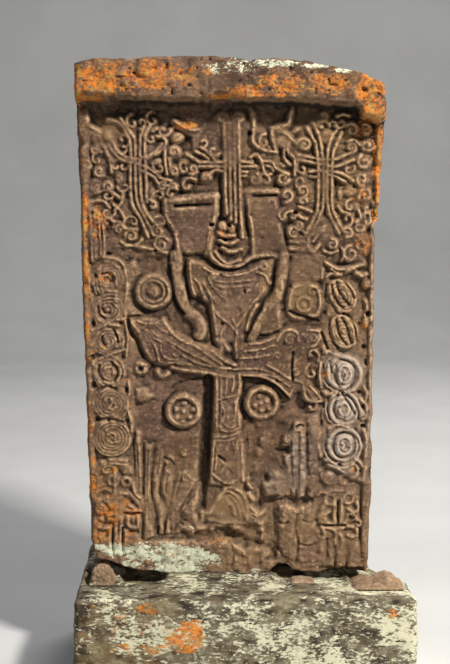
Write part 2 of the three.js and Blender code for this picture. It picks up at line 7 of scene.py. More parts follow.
from __future__ import annotations

import logging
import math
from dataclasses import dataclass, field
from enum import Enum

import bpy
import numpy as np
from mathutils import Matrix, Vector


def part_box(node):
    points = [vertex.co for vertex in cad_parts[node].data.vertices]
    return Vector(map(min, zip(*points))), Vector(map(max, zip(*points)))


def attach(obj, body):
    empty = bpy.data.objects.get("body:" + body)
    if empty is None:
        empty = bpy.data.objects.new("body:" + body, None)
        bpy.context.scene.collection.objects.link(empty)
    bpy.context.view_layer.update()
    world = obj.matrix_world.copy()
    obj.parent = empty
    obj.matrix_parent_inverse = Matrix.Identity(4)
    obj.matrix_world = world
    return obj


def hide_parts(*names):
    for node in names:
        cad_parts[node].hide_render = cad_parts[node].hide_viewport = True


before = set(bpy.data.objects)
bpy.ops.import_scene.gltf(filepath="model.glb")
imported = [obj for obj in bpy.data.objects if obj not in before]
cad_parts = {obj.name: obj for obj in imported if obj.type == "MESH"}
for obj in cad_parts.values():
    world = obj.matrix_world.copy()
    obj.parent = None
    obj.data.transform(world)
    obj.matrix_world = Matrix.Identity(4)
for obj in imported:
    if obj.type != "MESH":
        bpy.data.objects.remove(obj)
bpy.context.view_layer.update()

LOG = logging.getLogger("khachkar")
MM = 0.001
Line = tuple[float, ...]
Strands = tuple[tuple[float, Line], ...]
Channels = tuple[tuple[float, float, Line], ...]
Colour = tuple[float, float, float, float]


class Tint(Enum):
    """What grows or lies on the stone, and its painted highlights and shade, each kept as a mask on the
    mesh.
    """

    ORANGE = "orange_lichen"
    OCHRE = "ochre_dust"
    PALE = "pale_lichen"
    GREY = "bare_grey"
    # Painted highlight on the carving's ridges, partly pale wear; on other pieces only light specks.
    RIDGE = "ridge_highlight_and_pale_wear"
    # Painted shade in the carving's recesses; on other pieces only dark specks.
    RECESS = "deep_recess"


# Numbers over fields of points


def ease(low: float, high: float, value: np.ndarray) -> np.ndarray:
    """A smooth rise from 0 at `low` to 1 at `high`."""
    share = np.clip((value - low) / (high - low), 0.0, 1.0)
    return share * share * (3.0 - 2.0 * share)


def grain(points: np.ndarray, size: float, seed: int) -> np.ndarray:
    """Smooth seeded noise from -1 to 1.

    Args:
        points: N x 3 places.
        size: Width of one grain, in the units of the places.
        seed: Which noise.

    Returns:
        One value for each place.
    """
    spot = points / size
    cell = np.floor(spot).astype(np.int64)
    part = spot - cell
    part = part * part * (3.0 - 2.0 * part)
    total = np.zeros(len(points))
    for corner in range(8):
        step = np.array([corner & 1, corner >> 1 & 1, corner >> 2 & 1])
        mixed = (cell + step) @ np.array([73856093, 19349663, 83492791]) + seed * 40503
        mixed = (mixed ^ (mixed >> 13)) * 1274126177 & 0x7FFFFFFF
        value = ((mixed ^ (mixed >> 15)) & 0xFFFF) / 32767.5 - 1.0
        total += value * np.prod(np.where(step, part, 1.0 - part), axis=1)
    return total


def layered(points: np.ndarray, size: float, seed: int, layers: int = 3) -> np.ndarray:
    """Noise in layers, each half as wide and half as strong as the last."""
    return sum(grain(points, size / 2**k, seed + 7 * k) / 2**k for k in range(layers))


def soften(values: np.ndarray, cells: float) -> np.ndarray:
    """A field blurred over `cells` of its own grid."""
    reach = int(3 * cells) + 1
    weights = np.exp(-0.5 * (np.arange(-reach, reach + 1) / cells) ** 2)
    weights /= weights.sum()
    for axis in (0, 1):
        pads = [(reach, reach) if axis == k else (0, 0) for k in (0, 1)]
        padded = np.pad(values, pads, mode="edge")
        rolled = [np.take(padded, range(k, k + values.shape[axis]), axis) for k in range(2 * reach + 1)]
        values = sum(w * part for w, part in zip(weights, rolled))
    return values


def pairs(line: Line) -> np.ndarray:
    """The N x 2 points of a line given as one number after another."""
    return np.array(line, float).reshape(-1, 2)


def smooth_line(line: Line, step: float = 5.0) -> np.ndarray:
    """A smooth curve through points given as x, z, x, z and so on.

    Args:
        line: The points, one number after another.
        step: Distance between the curve's own points.

    Returns:
        N x 2 places along the curve.
    """
    points = pairs(line)
    ends = np.vstack([2 * points[0] - points[1], points, 2 * points[-1] - points[-2]])
    made = []
    for a, b, c, d in zip(ends, ends[1:], ends[2:], ends[3:]):
        count = max(1, round(math.dist(b, c) / step))
        t = (np.arange(count) / count)[:, None]
        bend = (2 * a - 5 * b + 4 * c - d) * t**2 + (3 * b - a - 3 * c + d) * t**3
        made.append(0.5 * (2 * b + (c - a) * t + bend))
    return np.vstack([*made, points[-1:]])


def nearest(path: np.ndarray, x: np.ndarray, z: np.ndarray) -> tuple[np.ndarray, np.ndarray, np.ndarray]:
    """How far a field of places is from a path.

    Args:
        path: N x 2 places along the path.
        x: Places across.
        z: Places up.

    Returns:
        The distance, the side of the path (1 or -1), and the share of its length.
    """
    best = np.full(x.shape, 1e12)
    side, share = np.ones(x.shape), np.zeros(x.shape)
    legs = np.hypot(*np.diff(path, axis=0).T)
    run = np.concatenate([[0.0], np.cumsum(legs)]) / max(legs.sum(), 1e-6)
    for k, ((ax, az), (bx, bz)) in enumerate(zip(path, path[1:])):
        dx, dz = bx - ax, bz - az
        t = np.clip(((x - ax) * dx + (z - az) * dz) / max(dx * dx + dz * dz, 1e-9), 0.0, 1.0)
        gap = (x - ax - t * dx) ** 2 + (z - az - t * dz) ** 2
        closer = gap < best
        best = np.where(closer, gap, best)
        side = np.where(closer, np.where(dx * (z - az) - dz * (x - ax) >= 0, 1.0, -1.0), side)
        share = np.where(closer, run[k] + t * (run[k + 1] - run[k]), share)
    return np.sqrt(best), side, share


def inside(path: np.ndarray, x: np.ndarray, z: np.ndarray) -> np.ndarray:
    """Whether each place lies inside a closed path."""
    odd = np.zeros(x.shape, bool)
    for (ax, az), (bx, bz) in zip(path, np.roll(path, -1, axis=0)):
        if az != bz:
            odd ^= ((az > z) != (bz > z)) & (x < (bx - ax) * (z - az) / (bz - az) + ax)
    return odd


def depth_in(path: np.ndarray, x: np.ndarray, z: np.ndarray) -> np.ndarray:
    """How far each place lies inside a closed path, below 0 outside it."""
    gap = nearest(np.vstack([path, path[:1]]), x, z)[0]
    return np.where(inside(path, x, z), gap, -gap)


# The carved face


@dataclass
class Face:
    """The slab's front as a field of heights, with the tools that carve it."""

    pitch: float = 2.5
    half_width: float = 495.0
    top: float = 1675.0
    crest: float = -2.0
    plain: float = -6.0
    ground: float = -24.0
    skirt: float = 8.0
    untouched: float = -70.0
    x: np.ndarray = field(init=False)
    z: np.ndarray = field(init=False)
    height: np.ndarray = field(init=False)
    tints: dict[Tint, np.ndarray] = field(init=False)

    def __post_init__(self) -> None:
        """Lays out the field."""
        across = np.arange(-self.half_width, self.half_width + self.pitch, self.pitch)
        up = np.arange(-10.0, self.top + self.pitch, self.pitch)
        self.x, self.z = np.meshgrid(across, up)
        self.height = np.full(self.x.shape, self.plain)
        self.tints = {tint: np.zeros(self.x.shape) for tint in Tint}

    def noise(self, size: float, seed: int, layers: int = 3) -> np.ndarray:
        """Layered noise over the whole field."""
        flat = np.stack([self.x.ravel(), self.z.ravel(), np.full(self.x.size, 3.7)], 1)
        return layered(flat, size, seed, layers).reshape(self.x.shape)

    def wriggle(self, size: float, seed: int) -> np.ndarray:
        """Winding lines over the whole field, 1 along them and 0 between."""
        return 1 - ease(0.0, 0.3, np.abs(self.noise(size, seed, 1)))

    def window(self, path: np.ndarray, margin: float) -> tuple[slice, slice]:
        """The part of the field within `margin` of a path."""
        low, high = path.min(0) - margin, path.max(0) + margin
        rows = [int((v - self.z[0, 0]) / self.pitch) for v in (low[1], high[1])]
        cols = [int((v - self.x[0, 0]) / self.pitch) for v in (low[0], high[0])]
        return slice(max(rows[0], 0), rows[1] + 2), slice(max(cols[0], 0), cols[1] + 2)

    def cord(self, line: Line, width: float = 11.0, ribs: int = 1, crest: float | None = None,
             bed: float = 9.0, over: bool = False, dip: float = 0.0, waves: float = 1.0) -> None:
        """Carves a raised cord, or a ribbon of several side by side.

        Args:
            line: Points of its middle line.
            width: Its whole width.
            ribs: Cords side by side in that width.
            crest: Height of its top.
            bed: How deep the grooves beside it go before the ground falls away.
            over: Whether it lies over what is already there.
            dip: How far its top sinks, as where a strand passes under another.
            waves: How many times it does so.
        """
        path = smooth_line(line)
        part = self.window(path, 0.5 * width + self.skirt + 2)
        gap, side, share = nearest(path, self.x[part], self.z[part])
        self.raise_ribs(part, gap * side, width, ribs, crest, bed, over,
                        dip * (0.5 - 0.5 * np.cos(2 * math.pi * waves * share)))

    def raise_ribs(self, part: tuple[slice, slice], off: np.ndarray, width: float, ribs: int,
                   crest: float | None, bed: float, over: bool, sink: np.ndarray | float,
                   turn: np.ndarray | float = 0.0) -> None:
        """Raises a ribbed section, given each place's distance off its middle."""
        crest = self.crest if crest is None else crest
        rib = width / ribs
        place = np.abs(np.mod(off + 0.5 * width + turn * rib, rib) / rib - 0.5) * 2
        groove = bed if ribs == 1 else min(bed, 0.8 * rib)
        shape = np.interp(place, (0, 0.45, 0.75, 1), (0, -0.08 * groove, -0.4 * groove, -groove))
        out = np.abs(off) - 0.5 * width
        fall = np.interp(out, (0, 3, self.skirt, self.skirt + 5),
                         (-bed, -bed - 1.5, self.ground - crest, self.untouched))
        made = crest - sink + np.where(out < 0, shape, fall)
        kept = self.height[part]
        self.height[part] = np.where((out < 0) & over, made, np.maximum(kept, made))

    def ring(self, x: float, z: float, radius: float, width: float = 11.0, ribs: int = 1,
             crest: float | None = None, stretch: float = 1.0, tilt: float = 0.0, bed: float = 9.0,
             over: bool = False, dip: float = 0.0, waves: float = 2.0, twist: float = 0.0) -> None:
        """Carves a raised ring, round or drawn out along `tilt` (degrees from upright).

        With a whole number as `twist`, its ribs wind inwards by so many ribs a turn.
        """
        reach = radius * max(stretch, 1.0)
        part = self.window(np.array([[x - reach, z - reach], [x + reach, z + reach]]), self.skirt + 4)
        turn = math.radians(tilt)
        dx, dz = self.x[part] - x, self.z[part] - z
        u = dx * math.cos(turn) + dz * math.sin(turn)
        v = (dz * math.cos(turn) - dx * math.sin(turn)) / stretch
        spin = np.arctan2(v, u)
        sink = dip * (0.5 - 0.5 * np.cos(waves * spin))
        self.raise_ribs(part, np.hypot(u, v) - (radius - 0.5 * width), width, ribs, crest, bed, over, sink,
                        twist * spin / (2 * math.pi))

    def scroll(self, x: float, z: float, radius: float, start: float = 0.0, turns: float = 1.3,
               width: float = 7.0, stretch: float = 1.0, tilt: float = 0.0) -> None:
        """Carves a spiral on a shallow bed; it winds inwards from `start` degrees.

        Args:
            x: Its middle, across.
            z: Its middle, up.
            radius: How far out it starts.
            start: Where it starts, in degrees.
            turns: How often it winds, leftwards if below zero.
            width: Width of its cord.
            stretch: How much longer it is than wide.
            tilt: Degrees of its long way from upright.
        """
        self.lobe(x, z, radius, radius * stretch, tilt, self.crest - 6)
        share = np.linspace(0, 1, 24)
        angle = math.radians(start) + 2 * math.pi * turns * share
        reach = (radius - 0.5 * width) * (1 - 0.82 * share)
        u, v = reach * np.cos(angle), reach * np.sin(angle) * stretch
        turn = math.radians(tilt)
        path = np.stack([x + u * math.cos(turn) - v * math.sin(turn),
                         z + u * math.sin(turn) + v * math.cos(turn)], 1)
        self.cord(tuple(path.ravel()), width, 1, None, 7)

    def plate(self, outline: Line, top: float, edge: float = 6.0, dome: float = 0.0) -> None:
        """Raises a flat or slightly domed form of any outline."""
        path = pairs(outline)
        part = self.window(path, self.skirt + 2)
        x, z = self.x[part], self.z[part]
        depth = depth_in(path, x, z)
        made = top + np.interp(depth, (-self.skirt - 5, -self.skirt, -2, 0, edge),
                               (self.untouched, self.ground - top, -12, -5, 0))
        made += dome * np.clip(depth / 30.0, 0, 1)
        self.height[part] = np.maximum(self.height[part], made)

    def lobe(self, x: float, z: float, across: float, up: float, tilt: float = 0.0,
             crest: float | None = None) -> None:
        """Raises a rounded lump."""
        crest = self.crest if crest is None else crest
        part, reach = self.oval(x, z, across, up, tilt)
        made = crest + np.interp(reach, (0, 0.6, 0.9, 1, 1.35, 1.6),
                                 (0, -2, -6, -10, self.ground - crest, self.untouched))
        self.height[part] = np.maximum(self.height[part], made)

    def oval(self, x: float, z: float, across: float, up: float,
             tilt: float = 0.0) -> tuple[tuple[slice, slice], np.ndarray]:
        """A window round an oval, and how far out each place in it lies, 1 on the oval."""
        reach = 1.6 * max(across, up)
        part = self.window(np.array([[x - reach, z - reach], [x + reach, z + reach]]), 2)
        turn = math.radians(tilt)
        dx, dz = self.x[part] - x, self.z[part] - z
        u = (dx * math.cos(turn) + dz * math.sin(turn)) / across
        v = (dz * math.cos(turn) - dx * math.sin(turn)) / up
        return part, np.hypot(u, v)

    def pit(self, x: float, z: float, across: float, up: float, level: float) -> None:
        """Sinks a rounded hollow to `level`."""
        part, reach = self.oval(x, z, across, up)
        made = level + np.interp(reach, (0, 0.7, 1, 1.3), (0, 2, 10, 60))
        self.height[part] = np.minimum(self.height[part], made)

    def slot(self, line: Line, width: float, level: float = -30.0) -> None:
        """Cuts a channel down to `level`."""
        path = smooth_line(line)
        part = self.window(path, width)
        gap = nearest(path, self.x[part], self.z[part])[0]
        made = level + np.interp(gap / (0.5 * width), (0, 0.6, 1, 1.5), (0, 2, 12, 60))
        self.height[part] = np.minimum(self.height[part], made)

    def groove(self, line: Line, width: float = 6.0, depth: float = 6.0) -> None:
        """Cuts a line of a given depth into whatever is there."""
        path = smooth_line(line)
        part = self.window(path, width)
        gap = nearest(path, self.x[part], self.z[part])[0]
        self.height[part] -= depth * (1 - ease(0.0, 0.5 * width, gap))

    def sink(self, outline: Line, level: float, edge: float = 8.0) -> None:
        """Lowers an area of any outline to `level`."""
        path = pairs(outline)
        part = self.window(path, edge + 2)
        x, z = self.x[part], self.z[part]
        depth = depth_in(path, x, z)
        made = level + np.interp(depth, (-edge, 0, edge), (40, 10, 0))
        self.height[part] = np.minimum(self.height[part], made)

    def wear(self, x: float, z: float, across: float, up: float, amount: float,
             tilt: float = 0.0) -> None:
        """Rubs the carving down over an oval."""
        part, reach = self.oval(x, z, across, up, tilt)
        rubbed = soften(self.height[part], 4.0)
        share = amount * (1 - ease(0.5, 1.2, reach))
        self.height[part] += (rubbed - self.height[part]) * share

    def tint(self, kind: Tint, x: float, z: float, across: float, up: float, amount: float = 1.0,
             tilt: float = 0.0) -> None:
        """Lays a soft patch of a tint on the face."""
        part, reach = self.oval(x, z, across, up, tilt)
        patch = amount * (1 - ease(0.35, 1.25, reach))
        self.tints[kind][part] = np.maximum(self.tints[kind][part], patch)

    def cords(self, strands: Strands, wider: float = 1.0, crest: float | None = None,
              bed: float = 9.0) -> None:
        """Carves cords, each given as a width and a line."""
        for width, line in strands:
            self.cord(line, wider * width, 1, crest, bed)

    def slots(self, channels: Channels) -> None:
        """Cuts channels, each given as a width, a level and a line."""
        for width, level, line in channels:
            self.slot(line, width, level)

    def plates(self, forms: Strands, edge: float, dome: float = 0.0) -> None:
        """Raises forms, each given as a height and an outline."""
        for top, outline in forms:
            self.plate(outline, top, edge, dome)

    def lobes(self, lumps: tuple[Line, ...], crest: float | None = None) -> None:
        """Raises lumps, each given as x, z, across, up and tilt."""
        for lump in lumps:
            self.lobe(*lump, crest)

    def scrolls(self, spirals: tuple[Line, ...], wider: float = 0.0, width: float = 7.0) -> None:
        """Carves spirals, each given as x, z, radius, start and turns."""
        for x, z, radius, start, turns in spirals:
            self.scroll(x, z, radius + wider, start, turns, width)

    def pits(self, holes: tuple[Line, ...]) -> None:
        """Sinks hollows, each given as x, z, across, up and level."""
        for hole in holes:
            self.pit(*hole)

    def sample(self, values: np.ndarray, x: np.ndarray, z: np.ndarray) -> np.ndarray:
        """Reads a field at any places, between its own points."""
        col = np.clip((x - self.x[0, 0]) / self.pitch, 0, values.shape[1] - 1.001)
        row = np.clip((z - self.z[0, 0]) / self.pitch, 0, values.shape[0] - 1.001)
        i, j = col.astype(int), row.astype(int)
        s, t = col - i, row - j
        low = values[j, i] * (1 - s) + values[j, i + 1] * s
        high = values[j + 1, i] * (1 - s) + values[j + 1, i + 1] * s
        return low * (1 - t) + high * t


# The stone's blank form, before the carving


@dataclass
class Blank:
    """The dressed face: its sunk ground, the plain edge round it and the plain panels left in it."""

    field_edge: Line = (
        -440, 120, -447, 560, -456, 1000, -462, 1200, -447, 1300, -446, 1600, 462, 1600, 458, 1165,
        446, 1140, 443, 560, 438, 22, 310, 16, 205, 32, 120, 92, -110, 104, -300, 100,
    )
    panels: Strands = (
        (-8, (-204, 1222, -47, 1236, -49, 1178, -70, 1100, -77, 1054, -165, 1052, -176, 1096, -192, 1140)),
        (-9, (47, 1250, 147, 1252, 152, 1180, 178, 1060, 76, 1054, 68, 1104, 58, 1200)),
        (-10, (-345, 842, -342, 1012, -304, 1040, -294, 985, -312, 930, -300, 850)),
        (-12, (188, 1052, 296, 1052, 294, 944, 262, 934, 200, 950, 184, 978)),
        (-11, (112, 905, 158, 905, 160, 840, 170, 812, 128, 790, 96, 792, 104, 860)),
        (-14, (-190, 462, -98, 470, -100, 380, -118, 300, -150, 330, -186, 400)),
        (-12, (232, 222, 250, 226, 272, 206, 276, 62, 160, 40, 158, 104, 228, 110)),
        (-9, (-184, 1448, -178, 1468, -134, 1446, -98, 1440, -98, 1364, -122, 1364, -124, 1418)),
    )
    shallows: tuple[Line, ...] = (
        (-330, 1290, 130, 220, -15), (300, 1280, 160, 220, -15), (0, 1380, 150, 110, -17),
        (100, 1320, 90, 90, -15), (-300, 1090, 140, 60, -13), (320, 1080, 140, 70, -13),
        (-300, 900, 90, 70, -17), (240, 960, 90, 60, -15), (-210, 320, 150, 170, -15),
        (-400, 250, 90, 150, -14), (350, 180, 110, 160, -14), (250, 430, 50, 130, -17),
        (360, 640, 110, 330, -14), (-390, 700, 90, 340, -12), (0, 1090, 70, 80, -17),
    )

    def cut(self, face: Face) -> None:
        """Sinks the ground and leaves the panels."""
        depth = depth_in(pairs(self.field_edge), face.x, face.z)
        uneven = 2.6 * face.noise(46, 11) + 1.2 * face.noise(13, 12)
        face.height += (face.ground - face.plain) * ease(-2, 9, depth) + uneven
        for x, z, across, up, level in self.shallows:
            part, out = face.oval(x, z, across, up)
            raised = level + 1.4 * uneven[part] - 12 * ease(0.7, 1.15, out)
            face.height[part] = np.maximum(face.height[part], raised)
        face.plates(self.panels, 7)


@dataclass
class Cornice:
    """The plain projecting head of the slab and the hollow moulding under it."""

    reach: float = 70.0
    hollow_foot: float = 1478.0
    hollow_top: float = 1542.0
    hollow_reach: float = 44.0
    lip: Line = (
        -500, 1544, -440, 1544, -408, 1542, -398, 1534, -362, 1536, -350, 1530, -260, 1530, -190, 1526,
        -100, 1525, -60, 1530, -50, 1541, -40, 1546, -14, 1536, 10, 1528, 60, 1525, 200, 1525, 240, 1524,
        300, 1515, 370, 1509, 386, 1514, 404, 1500, 410, 1478, 430, 1474, 450, 1462, 500, 1470,
    )
    chips: tuple[Line, ...] = (
        (-372, 1538, 22, 9, 52), (-30, 1542, 26, 10, 44), (410, 1560, 9, 7, 38), (396, 1560, 26, 30, 58),
        (440, 1520, 24, 30, 60), (-300, 1528, 40, 6, 58), (268, 1528, 18, 7, 56), (96, 1530, 22, 6, 58),
        (-470, 1548, 14, 8, 56), (352, 1588, 7, 5, 54), (-210, 1604, 6, 4, 58), (30, 1590, 7, 4, 57),
        (452, 1562, 14, 10, 56), (-120, 1570, 5, 4, 58), (190, 1600, 7, 5, 57), (300, 1556, 8, 5, 58),
    )

    def cut(self, face: Face) -> None:
        """Raises the moulding and the head over the carving."""
        share = np.clip((face.z - self.hollow_foot) / (self.hollow_top - self.hollow_foot), 0, 1)
        curve = face.ground + (self.hollow_reach - face.ground) * share**1.7
        worn = 3.0 * face.noise(34, 21) - 3.5 * face.wriggle(30, 27) - 2.0 * face.wriggle(17, 28)
        cove = np.where(share > 0, curve + worn, -99)
        flutes = 6.0 * face.wriggle(38, 29) * ease(0.0, 0.4, share)
        cove = cove - flutes
        face.height = np.maximum(face.height, cove)
        lip = pairs(self.lip)
        above = face.z - np.interp(face.x, lip[:, 0], lip[:, 1]) + 3.0 * face.noise(18, 23)
        rough = 3.0 * face.noise(70, 24) + 3.4 * face.noise(24, 25, 2) - 4.0 * face.wriggle(44, 26)
        rough -= 9.0 * ease(0.5, 0.8, face.noise(13, 30, 1))
        head = self.reach - 5 + rough - 16 * (1 - ease(0, 16, above))
        face.height = np.where(above > 0, np.maximum(head, face.height), face.height)
        for x, z, across, up, level in self.chips:
            part, out = face.oval(x, z, across, up)
            hollow = np.where(face.height[part] > 48, level + 14 * out**2, 99)
            face.height[part] = np.minimum(face.height[part], hollow)


# Crosses, knots and leaves


@dataclass
class SmallCross:
    """One of the three small crosses of the upper register, made of bundled cords."""

    cords: Strands
    rings: tuple[Line, ...]
    scrolls: tuple[Line, ...]
    lobes: tuple[Line, ...]

    def cut(self, face: Face) -> None:
        """Carves the cross's ornament first and its cords over it."""
        for x, z, across, up, tilt in self.lobes:
            face.lobe(x, z, across, up, tilt, face.crest - 3)
            face.groove((x - 0.5 * across, z - 0.4 * up, x, z, x + 0.5 * across, z + 0.5 * up), 5, 4)
        for x, z, radius, width, stretch, tilt in self.rings:
            side = 1 if (x + z) % 2 else -1
            face.scroll(x, z, radius + 4, (x * 7 + z * 3) % 360, 1.15 * side, width + 2, stretch, tilt)
        for x, z, radius, start, turns in self.scrolls:
            face.scroll(x, z, radius + 5, start, 0.9 * turns, 10)
        face.cords(self.cords, 1.38, bed=11)


LEFT_CROSS = SmallCross(
    cords=(
        (10, (-345, 1475, -322, 1440, -304, 1414, -301, 1390, -301, 1280, -296, 1215, -270, 1160,
            -246, 1110)),
        (10, (-385, 1472, -350, 1460, -326, 1424, -316, 1395, -317, 1280, -312, 1210, -288, 1165,
            -262, 1106)),
        (10, (-272, 1450, -279, 1430, -286, 1402, -286, 1280, -280, 1212, -262, 1172, -232, 1140)),
        (10, (-254, 1452, -268, 1428, -271, 1400, -268, 1280, -266, 1215)),
        (9, (-375, 1406, -352, 1370, -330, 1355, -300, 1349, -262, 1358, -236, 1374, -216, 1396)),
        (9, (-386, 1394, -364, 1362, -334, 1343, -300, 1336)),
        (9, (-405, 1396, -391, 1370, -380, 1340, -376, 1308)), (8, (-395, 1385, -388, 1366, -368, 1340)),
        (9, (-468, 1458, -440, 1449, -410, 1432)), (8, (-470, 1440, -446, 1434, -430, 1424)),
        (9, (-300, 1337, -286, 1330, -260, 1320, -236, 1304, -221, 1288, -190, 1281)),
        (9, (-290, 1316, -262, 1304, -240, 1290, -228, 1274, -196, 1265)),
        (8, (-232, 1419, -212, 1415, -204, 1400, -220, 1374, -264, 1350)),
        (8, (-207, 1382, -207, 1340, -200, 1300)), (8, (-194, 1350, -190, 1310)),
        (8, (-445, 1214, -420, 1219, -400, 1215, -383, 1196)),
        (8, (-450, 1236, -400, 1250, -378, 1246, -350, 1226)), (9, (-340, 1240, -346, 1212, -368, 1188)),
        (8, (-330, 1080, -300, 1074, -265, 1068, -205, 1054)),
        (8, (-372, 1152, -350, 1150, -330, 1130, -300, 1128)),
        (8, (-350, 1090, -330, 1076, -300, 1080, -282, 1096)), (8, (-372, 1206, -352, 1190, -338, 1166)),
    ),
    rings=(
        (-390, 1418, 14, 8, 1.0, 0), (-430, 1378, 15, 8, 1.1, 20), (-415, 1311, 18, 9, 1.0, 0),
        (-180, 1371, 19, 9, 1.0, 0), (-180, 1310, 16, 8, 1.0, 0), (-452, 1330, 12, 7, 1.3, 10),
    ),
    scrolls=(
        (-426, 1263, 20, 90, 1.3), (-386, 1262, 16, 200, -1.2), (-215, 1263, 15, 60, 1.2),
        (-232, 1122, 21, 120, 1.4), (-222, 1080, 27, 30, 1.5), (-316, 1106, 20, 180, -1.4),
        (-354, 1128, 17, 10, 1.2), (-424, 1160, 20, 120, -1.3), (-440, 1110, 17, 40, 1.2),
    ),
    lobes=(
        (-170, 1414, 22, 17, 20), (-232, 1340, 19, 11, 15), (-180, 1268, 20, 9, -20),
        (-360, 1080, 16, 12, 30), (-455, 1400, 10, 15, 0), (-240, 1440, 16, 8, 30), (-352, 1290, 14, 22, 5),
        (-250, 1240, 12, 18, 0),
    ),
)

MIDDLE_CROSS = SmallCross(
    cords=(
        (10, (-22, 1462, -20, 1400, -17, 1250, -13, 1178)), (10, (-6, 1462, -5, 1400, -2, 1250, 1, 1160)),
        (10, (9, 1462, 10, 1400, 13, 1250, 15, 1150)),
        (10, (24, 1462, 25, 1400, 29, 1250, 31, 1180, 36, 1104)), (9, (-100, 1339, -60, 1338, -22, 1338)),
        (9, (-100, 1325, -60, 1325, -22, 1324)), (8, (-26, 1311, -50, 1313, -78, 1294)),
        (8, (-142, 1363, -120, 1352, -98, 1337)), (8, (-95, 1386, -74, 1370, -52, 1346)),
        (8, (-110, 1372, -88, 1362, -70, 1350)), (9, (28, 1342, 66, 1337)), (9, (28, 1325, 78, 1326)),
        (8, (28, 1309, 52, 1308)), (8, (26, 1296, 48, 1296)),
        (8, (60, 1354, 78, 1361, 95, 1346, 104, 1312, 112, 1298, 126, 1301)),
        (9, (100, 1342, 130, 1338, 142, 1320, 182, 1300)), (8, (112, 1328, 126, 1324, 134, 1312)),
        (8, (-50, 1056, -30, 1031, -8, 1019, 30, 1030)), (8, (-40, 1118, -20, 1106, 10, 1108)),
        (8, (-36, 1092, -4, 1082, 22, 1092)), (8, (-28, 1070, 0, 1056, 34, 1064)),
    ),
    rings=((-120, 1317, 18, 9, 1.0, 0), (75, 1285, 20, 9, 1.0, 0), (-28, 1135, 9, 6, 1.2, 0)),
    scrolls=((-26, 1476, 18, 0, 1.3), (26, 1476, 18, 180, -1.3), (-80, 1291, 13, 0, 1.1)),
    lobes=((-142, 1340, 14, 10, 30), (160, 1330, 16, 9, -20), (2, 1130, 12, 16, 0)),
)

RIGHT_CROSS = SmallCross(
    cords=(
        (10, (240, 1446, 256, 1416, 268, 1388, 275, 1320, 275, 1205, 261, 1160, 240, 1118)),
        (10, (258, 1462, 272, 1430, 283, 1394, 290, 1320, 291, 1210, 277, 1160, 252, 1106)),
        (10, (320, 1424, 307, 1390, 303, 1350, 305, 1210, 320, 1160, 344, 1116)),
        (10, (350, 1432, 330, 1392, 320, 1350, 320, 1210, 332, 1168, 362, 1114)),
        (9, (205, 1363, 255, 1353, 300, 1346, 332, 1349, 362, 1361, 386, 1371)),
        (9, (212, 1346, 256, 1338, 300, 1329, 330, 1325, 386, 1346)),
        (9, (248, 1309, 300, 1312, 350, 1303, 386, 1280)), (8, (300, 1298, 322, 1297, 362, 1276)),
        (8, (365, 1401, 386, 1409, 406, 1391)), (8, (145, 1431, 166, 1432, 186, 1416, 206, 1396)),
        (8, (180, 1402, 180, 1370, 200, 1350, 201, 1298)), (8, (168, 1385, 168, 1352, 186, 1330)),
        (8, (250, 1294, 262, 1292, 276, 1294)), (8, (300, 1140, 274, 1120, 250, 1105)),
        (8, (296, 1126, 272, 1106, 262, 1090)), (9, (245, 1102, 248, 1066, 264, 1058, 281, 1080)),
        (8, (190, 1066, 236, 1063)), (8, (188, 1090, 214, 1086)), (8, (335, 1482, 352, 1488, 370, 1484)),
        (8, (205, 1180, 222, 1166, 240, 1160)), (8, (216, 1200, 240, 1190, 256, 1184)),
        (8, (340, 1200, 352, 1184, 376, 1176)), (8, (396, 1150, 412, 1164, 404, 1190)),
        (8, (352, 1070, 362, 1050, 352, 1030)), (8, (296, 1060, 318, 1052, 340, 1060)),
    ),
    rings=(
        (160, 1404, 15, 8, 1.0, 0), (380, 1440, 22, 9, 1.0, 0), (378, 1385, 17, 8, 1.0, 0),
        (429, 1391, 24, 9, 0.75, 0), (420, 1339, 24, 9, 1.0, 0), (415, 1285, 21, 9, 1.15, 0),
        (425, 1235, 23, 9, 1.2, 0), (165, 1289, 21, 9, 1.0, 0), (176, 1235, 23, 9, 1.0, 0),
        (226, 1249, 21, 9, 1.0, 0), (322, 1080, 19, 9, 1.0, 0), (426, 1440, 15, 8, 1.2, 10),
    ),
    scrolls=(
        (230, 1392, 22, 150, -1.4), (200, 1116, 19, 60, 1.3), (370, 1114, 20, 150, -1.3),
        (382, 1050, 27, 90, 1.5), (226, 1216, 14, 0, 1.0), (216, 1140, 15, 200, 1.2),
    ),
    lobes=(
        (302, 1418, 22, 24, 0), (375, 1245, 22, 16, 10), (345, 1240, 10, 22, 0), (232, 1300, 14, 10, 0),
        (396, 1200, 12, 16, 0), (246, 1250, 8, 20, 0), (208, 1440, 18, 8, 30), (420, 1480, 20, 8, 0),
    ),
)


